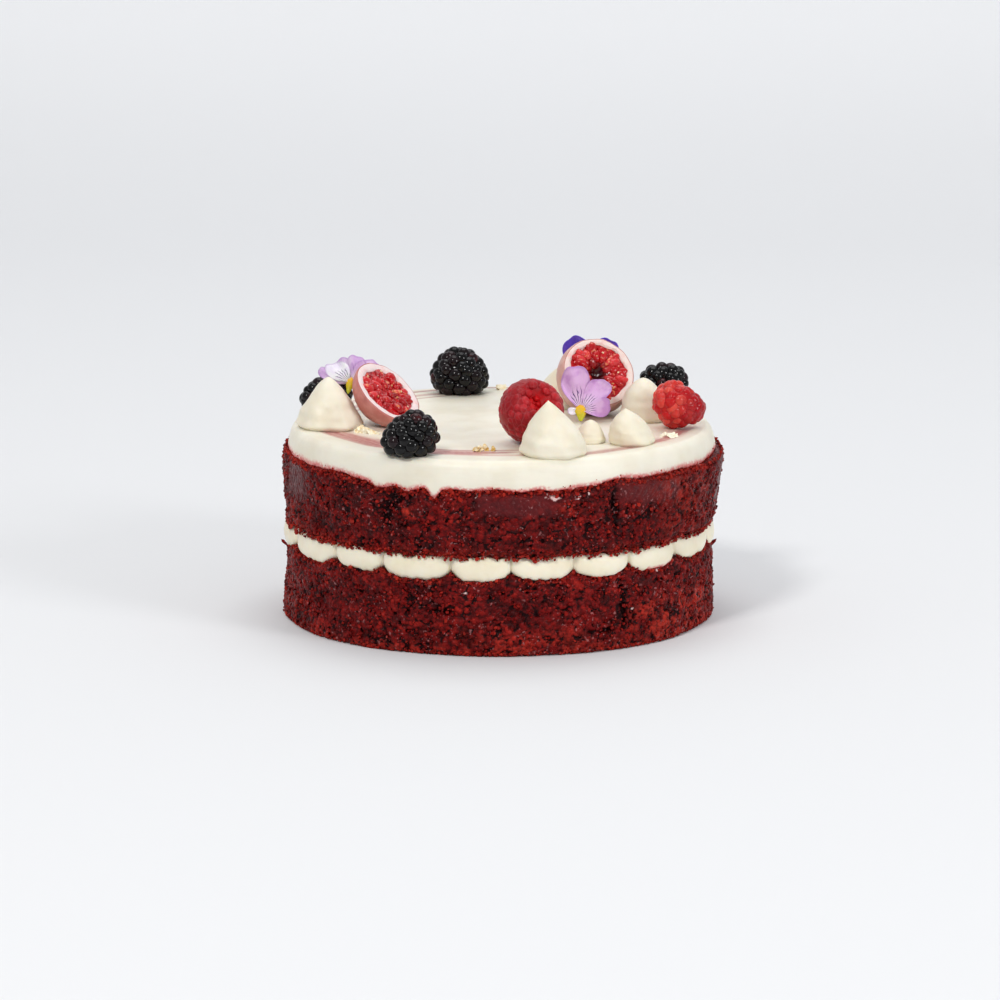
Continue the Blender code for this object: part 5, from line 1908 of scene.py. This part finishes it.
@dataclass(frozen=True)
class Studio:
    """A pale sweep, soft lights and the camera at the photo's angle."""

    camera_place: Triple = (0.00037, -1.87853, 0.41779)
    camera_pitch: float = 78.67
    lens: float = 187.2
    sensor: float = 36.0
    far: float = 20.0
    lamps: tuple[Lamp, ...] = (
        Lamp("key_light", (-0.75, -1.35, 1.6), 0.36, 15.5, (1.0, 0.985, 0.96)),
        Lamp("fill_light", (1.6, -1.3, 0.9), 0.55, 14.0, (0.98, 0.99, 1.0)),
        Lamp("top_light", (0.1, 0.5, 2.0), 1.4, 13.5),
    )
    sweep: Colour = colour("e8e9eb")
    # The paler colour up the curve and the wall, painted light
    curve: Colour = colour("f1f2f4")
    sky: Colour = colour("eeeff1")
    sky_strength: float = 0.52

    def floor(self) -> None:
        """Builds the sweep: a floor that curves up into a wall behind the cake."""
        turn = np.linspace(0.0, 0.5 * math.pi, 25)
        depth = np.concatenate([[-3.0], 0.9 + 0.8 * np.sin(turn), [1.7]])
        height = np.concatenate([[0.0], 0.8 - 0.8 * np.cos(turn), [3.0]])
        across = np.array([-3.0, 3.0])
        rows = np.stack(np.broadcast_arrays(across[None, :], depth[:, None], height[:, None]), axis=-1)
        # Paler as it rises into the wall: painted light that evens out the wall's dimmer lighting
        rise = smooth(height / 0.1)[:, None] * np.ones_like(across)
        book = NodeBook("pale_sweep")
        shade = book.mix(book.mark("rise"), self.sweep, self.curve)
        surface = woven(rows, {"rise": rise}, closed=False, capped=False)
        surface.build("floor", book.finish(Base_Color=shade, Roughness=0.9))

    def build(self) -> None:
        """Builds the sweep, the lights, the sky and the camera."""
        self.floor()
        for lamp in self.lamps:
            lamp.build()
        world = bpy.data.worlds.new("studio_sky")
        world.use_nodes = True
        background = world.node_tree.nodes["Background"]
        background.inputs["Color"].default_value = (*self.sky, 1.0)
        background.inputs["Strength"].default_value = self.sky_strength
        bpy.context.scene.world = world
        camera = bpy.data.cameras.new("camera")
        camera.lens = self.lens
        camera.sensor_width = self.sensor
        camera.clip_end = self.far
        holder = bpy.data.objects.new("camera", camera)
        holder.location = self.camera_place
        holder.rotation_euler = (math.radians(self.camera_pitch), 0.0, 0.0)
        bpy.context.scene.collection.objects.link(holder)
        bpy.context.scene.camera = holder
        bpy.context.scene.view_settings.view_transform = "Standard"


LOWER_SPONGE = SpongeLayer(
    name="sponge_bottom_side", node="sponge_bottom", seed=7,
    radius_low=0.0783, radius_high=0.0783, middle_low=0.0, middle_high=0.0285,
    foot_inset=0.0017, foot_rise=0.0017, rim_inset=0.0008, rim_drop=0.0021,
    centre_low=0.0, centre_high=0.0,
    hollows=(
        Patch(-15.0, 0.016, 0.006, 0.0025, 0.001), Patch(34.8, 0.0155, 0.0022, 0.0085, 0.0008),
        Patch(29.0, 0.0078, 0.0048, 0.001, 0.0008), Patch(155.0, 0.014, 0.006, 0.004, 0.0013),
        Patch(262.0, 0.018, 0.005, 0.005, 0.0012),
    ),
    moist=(
        Patch(-52.0, 0.012, 0.005, 0.007, 0.2, 4.0), Patch(120.0, 0.016, 0.011, 0.007, 0.8, 4.0),
        Patch(205.0, 0.012, 0.009, 0.008, 0.7, 4.0),
    ),
    smears=(Patch(-10.5, 0.0241, 0.0013, 0.0007), Patch(38.8, 0.0137, 0.0007, 0.0006, 0.9),
            Patch(46.5, 0.0272, 0.0068, 0.0009, 0.8), Patch(140.0, 0.021, 0.0018, 0.0008),
            Patch(231.0, 0.019, 0.0012, 0.0009)),
    bright=(Patch(58.0, 0.0105, 0.026, 0.009, 0.75, 4.0), Patch(8.0, 0.005, 0.03, 0.005, 0.45),
            Patch(-80.0, 0.012, 0.012, 0.015, 0.5), Patch(180.0, 0.008, 0.04, 0.008, 0.5)),
    torn=(Patch(-20.0, 0.018, 0.01, 0.004, 0.45), Patch(35.0, 0.015, 0.0018, 0.007, 0.7),
          Patch(150.0, 0.014, 0.006, 0.004, 0.8)),
    cracks=(Patch(34.4, 0.02, 0.0009, 0.005), Patch(35.2, 0.0125, 0.001, 0.0052),
            Patch(-14.5, 0.0162, 0.0034, 0.0008, 0.9), Patch(29.0, 0.0078, 0.004, 0.0008, 0.9),
            Patch(152.0, 0.015, 0.0011, 0.006, 0.9), Patch(-131.0, 0.013, 0.001, 0.005, 0.8)),
    high_spill=0.0004,
    crags=((-87.5, 0.0262, 0.0016, 0.0008), (-80.0, 0.027, 0.0009, 0.0003),
           (87.5, 0.0262, 0.0017, 0.0006)),
)

UPPER_SPONGE = SpongeLayer(
    name="sponge_top_side", node="sponge_top", seed=8,
    radius_low=0.0788, radius_high=0.0803, middle_low=0.0357, middle_high=0.061,
    foot_inset=0.0021, foot_rise=0.003, rim_inset=0.0027, rim_drop=0.002,
    centre_low=0.0002, centre_high=0.0013,
    low_spill=-0.0007, high_spill=0.0006, tone_shift=-0.15,
    hollows=(
        Patch(-28.5, 0.053, 0.005, 0.0045, 0.0012), Patch(30.3, 0.052, 0.0022, 0.008, 0.0008),
        Patch(118.0, 0.048, 0.005, 0.005, 0.0015), Patch(226.0, 0.05, 0.005, 0.006, 0.0013),
    ),
    moist=(
        Patch(-70.0, 0.0555, 0.0125, 0.0075, 0.95, 4.0), Patch(3.0, 0.0552, 0.015, 0.0042, 0.9, 4.0),
        Patch(42.5, 0.0568, 0.017, 0.0052, 1.0, 4.0), Patch(84.0, 0.052, 0.0085, 0.01, 0.9, 4.0),
        Patch(110.0, 0.057, 0.014, 0.004, 0.8, 4.0), Patch(172.0, 0.0555, 0.024, 0.005, 0.9, 4.0),
        Patch(232.0, 0.056, 0.015, 0.005, 0.9, 4.0),
    ),
    smears=(
        Patch(11.6, 0.0573, 0.0034, 0.0007, 0.8), Patch(20.0, 0.0566, 0.0014, 0.0011, 0.9),
        Patch(24.5, 0.0577, 0.0009, 0.0009),
        Patch(-6.5, 0.0576, 0.0013, 0.0012, 0.8), Patch(54.0, 0.059, 0.0004, 0.0034, 0.75),
        Patch(-25.0, 0.0592, 0.0014, 0.0006, 0.7), Patch(-19.3, 0.052, 0.0007, 0.0009, 0.8),
        Patch(140.0, 0.056, 0.003, 0.0012),
        Patch(205.0, 0.057, 0.002, 0.0012, 0.8),
    ),
    bright=(Patch(44.0, 0.0575, 0.018, 0.005, 0.08, 4.0), Patch(17.2, 0.0534, 0.0034, 0.0022, 0.95),
            Patch(-24.0, 0.052, 0.0018, 0.0016, 0.9),
            Patch(57.0, 0.049, 0.017, 0.012, 0.45, 4.0), Patch(-72.0, 0.042, 0.01, 0.005, 0.4),
            Patch(-13.0, 0.06, 0.016, 0.001, 0.6)),
    torn=(Patch(-25.5, 0.0575, 0.0036, 0.0024, 0.8), Patch(-29.0, 0.053, 0.0045, 0.005, 0.8),
          Patch(30.0, 0.0525, 0.002, 0.008, 0.6), Patch(22.0, 0.0456, 0.0045, 0.0012, 0.9),
          Patch(118.0, 0.048, 0.005, 0.005, 0.8)),
    cracks=(Patch(-25.0, 0.0576, 0.003, 0.0011), Patch(-28.3, 0.0562, 0.0022, 0.0014),
            Patch(-30.8, 0.0534, 0.0015, 0.002), Patch(-31.7, 0.0503, 0.0014, 0.0021),
            Patch(-30.6, 0.0475, 0.0017, 0.0013), Patch(-26.0, 0.047, 0.0022, 0.0008, 0.8),
            Patch(30.1, 0.0545, 0.0009, 0.0042), Patch(30.9, 0.049, 0.001, 0.0044),
            Patch(118.0, 0.049, 0.0012, 0.006, 0.9), Patch(-134.0, 0.05, 0.0011, 0.006, 0.9)),
)

DOLLOPS = (
    Dollop("cream_dollop_left", -0.0618, -0.0092, 0.012, 0.0188, -0.0005, 1.45, 0.72, 1, 0.085),
    Dollop("cream_dollop_front", 0.0195, -0.0628, 0.012, 0.0197, -0.002, 2.00, 1.00, 2),
    Dollop("cream_dollop_small", 0.0329, -0.0394, 0.0056, 0.0085, 0.0000, 2.2, 0.7, 3, 0.08),
    Dollop("cream_dollop_right", 0.0474, -0.0416, 0.0084, 0.013, -0.002, 2.4, 0.9, 4, 0.08),
    Dollop("cream_dollop_back", 0.0535, 0.005, 0.0092, 0.016, -0.0004, 2.2, 0.65, 5),
    Dollop("cream_dollop_rear", 0.0215, 0.031, 0.0085, 0.0155, 0.0008, 2.00, 0.9, 6),
)

DARK_BERRIES = (
    DrupeletFruit("dark_berry_back", -0.015, 0.0615, (0.0104, 0.01, 0.0094), 0.14, 0.0002, 0.8,
                  (0.0, 90.0), 68, 3, Slot.DARK_BERRY, jitter=0.09, special=((0.75, -0.65, 0.1, 1.25),)),
    DrupeletFruit("dark_berry_front", -0.0312, -0.0628, (0.0096, 0.0093, 0.0086), 0.2, 0.0012, 0.76,
                  (10.0, 84.0), 58, 4, Slot.DARK_BERRY, jitter=0.09,
                  special=((0.1, -0.3, 0.95, 1.0), (0.5, -0.3, 0.8, 0.95))),
    DrupeletFruit("dark_berry_right", 0.0612, 0.027, (0.008, 0.008, 0.0094), 0.14, 0.0, 9.0,
                  (70.0, 24.0), 50, 5, Slot.DARK_BERRY, jitter=0.09),
    DrupeletFruit("dark_berry_left", -0.064, 0.015, (0.0072, 0.0072, 0.0096), 0.14, 0.0, 9.0,
                  (-78.0, -16.0), 46, 6, Slot.DARK_BERRY, jitter=0.09),
)

RASPBERRIES = (
    (DrupeletFruit("raspberry_whole", 0.0112, -0.0408, (0.0117, 0.0117, 0.0117), -0.14, 0.0, 9.0,
                   (28.0, 40.0), 230, 9, Slot.RASPBERRY, crown=1.013, bead_width=0.7, bead_height=0.5,
                   core=0.998, hollow=(34.0, 0.42)),
     RaspberryFinish("raspberry_velvet", colour("980a15"), colour("b61e28"), colour("c4040e"),
                     bloom=0.1, roughness=0.46, hairs=0.15)),
    (DrupeletFruit("raspberry_torn", 0.0655, -0.0125, (0.0078, 0.0081, 0.0099), 0.31, 0.0, 9.0,
                   (86.0, -12.0, 20.0), 104, 12, Slot.RASPBERRY, crown=1.045, bead_width=0.66,
                   bead_height=0.48, jitter=0.24, core=0.975, torn=(-0.3, -0.6, -0.7, 26.0),
                   rugged=0.065),
     RaspberryFinish("raspberry_wet", colour("bc161c"), colour("e04c40"), colour("a00816"),
                     bloom=0.05, roughness=0.14, hairs=0.0)),
)

FIGS = (
    (FigHalf("fig_half_left", -0.0406, -0.0062, 0.0139, 0.011, 0.0, 0.0109, 0.0006, 0.0004, 0.0026,
             56.4, 46.1, 21, 52, (0.00165, 0.00215, 0.00115)),
     RindFinish("fig_skin_left", skin=colour("bf6e66"), skin_light=colour("d08a80"),
                pith=colour("efdedd"), blush=colour("f0c4c0"))),
    (FigHalf("fig_half_right", 0.0368, 0.0125, 0.0143, 0.0143, 0.0045, 0.0113, 0.0004, 0.0034, 0.0,
             20.4, 33.5, 22, 60, (0.00138, 0.00225, 0.00115), 0.34),
     RindFinish("fig_skin_right", skin=colour("cf9a90"), skin_light=colour("dcb0a4"),
                pith=colour("f0dcd4"), blush=colour("eec4bc"))),
)

LILAC = PetalFinish("petal_lilac", colour("dab2de"), colour("c793cf"), colour("ead6ec"))
WHITE = PetalFinish("petal_white", colour("eeeaf2"), colour("e4dced"), colour("f4f1f5"), vein_reach=0.5)
MAUVE = PetalFinish("petal_mauve", colour("dec4e4"), colour("cda8d8"), colour("e8d8ec"), vein_reach=0.1)
VIOLET = PetalFinish("petal_violet", colour("7659d6"), colour("6048c8"), colour("c9a8dc"),
                     rim=colour("4c36b0"), vein_reach=0.3)

VIOLAS = (
    Viola("viola_front", 0.03, -0.0012, FROSTING_TOP + 0.0046, 0.0, 33.0, 8.0, Slot.LILAC,
          (Petal(100.0, 0.0168, 38.0, 0.0002, LILAC, 0.001),
           Petal(48.0, 0.015, 36.0, 0.0006, LILAC, 0.0009),
           Petal(4.0, 0.0112, 36.0, 0.001, LILAC, 0.0003),
           Petal(190.0, 0.005, 34.0, 0.0004, WHITE, 0.0002)),
          eye=(0.0021, 0.0033, 0.001)),
    Viola("viola_back", 0.0346, 0.0317, FROSTING_TOP + 0.0148, 0.0, -18.0, 0.0, Slot.VIOLET,
          (Petal(125.0, 0.0151, 46.0, 0.0002, VIOLET), Petal(58.0, 0.0141, 48.0, 0.0004, VIOLET),
           Petal(172.0, 0.007, 28.0, 0.0006, LILAC), Petal(5.0, 0.009, 30.0, 0.0007, LILAC),
           Petal(272.0, 0.0152, 36.0, 0.0009, LILAC)),
          eye=(0.0014, 0.002, 0.0007)),
    Viola("viola_left", -0.0546, 0.0027, FROSTING_TOP + 0.0141, -12.0, 42.0, -6.0, Slot.LILAC,
          (Petal(138.0, 0.0124, 42.0, 0.0009, WHITE), Petal(158.0, 0.0136, 26.0, 0.0002, MAUVE),
           Petal(124.0, 0.0132, 40.0, -0.0002, MAUVE), Petal(86.0, 0.012, 42.0, -0.0005, MAUVE),
           Petal(52.0, 0.0136, 36.0, 0.0001, MAUVE)),
          eye=(0.0015, 0.0036, 0.0009)),
)


def build_layers(plan: CakePlan) -> None:
    """Builds the sponges, the filling and the frosting."""
    crumb = CrumbFinish().material()
    degrees = np.arange(LOWER_SPONGE.columns) * 360.0 / LOWER_SPONGE.columns - 180.0
    floor = np.zeros_like(degrees)
    LOWER_SPONGE.build(plan, (floor, plan.lower_rim(degrees)), degrees, crumb)
    foot = plan.foot_of_frosting(degrees) - FIT_GAP
    UPPER_SPONGE.build(plan, (plan.upper_underside(degrees), foot), degrees, crumb)
    Filling().build(plan, CreamFinish("filling_cream", colour("f6eed8"), colour("efe5ca")).material())
    Frosting().build(plan, crumb)


def build_toppings() -> None:
    """Builds the dollops, the fruit and the flowers."""
    cream = CreamFinish("piped_cream", colour("f0e9d6"), colour("e9e0c9")).material()
    for dollop in DOLLOPS:
        dollop.build(cream)
    skin = BerryFinish().material()
    for berry in DARK_BERRIES:
        berry.build(skin)
    for berry, finish in RASPBERRIES:
        berry.build(finish.material())
    pulp = PulpFinish().material()
    seed = SpotFinish("fig_seed", colour("d98a5a"), colour("f3dcae"), 0.3).material()
    for fig, finish in FIGS:
        fig.build(finish.material(), pulp, seed)
    petals = {finish.name: finish.material() for finish in (LILAC, WHITE, MAUVE, VIOLET)}
    eye = SpotFinish("viola_eye", colour("b8bc10"), colour("f0b400"), 0.5).material()
    for viola in VIOLAS:
        viola.build(eye, petals)


def main() -> None:
    """Builds the studio, the layers and the toppings."""
    logging.basicConfig(level=logging.INFO, format="%(name)s %(message)s")
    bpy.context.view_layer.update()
    Studio().build()
    plan = CakePlan()
    build_layers(plan)
    build_toppings()
    bpy.context.view_layer.update()


if __name__ == "__main__":
    main()
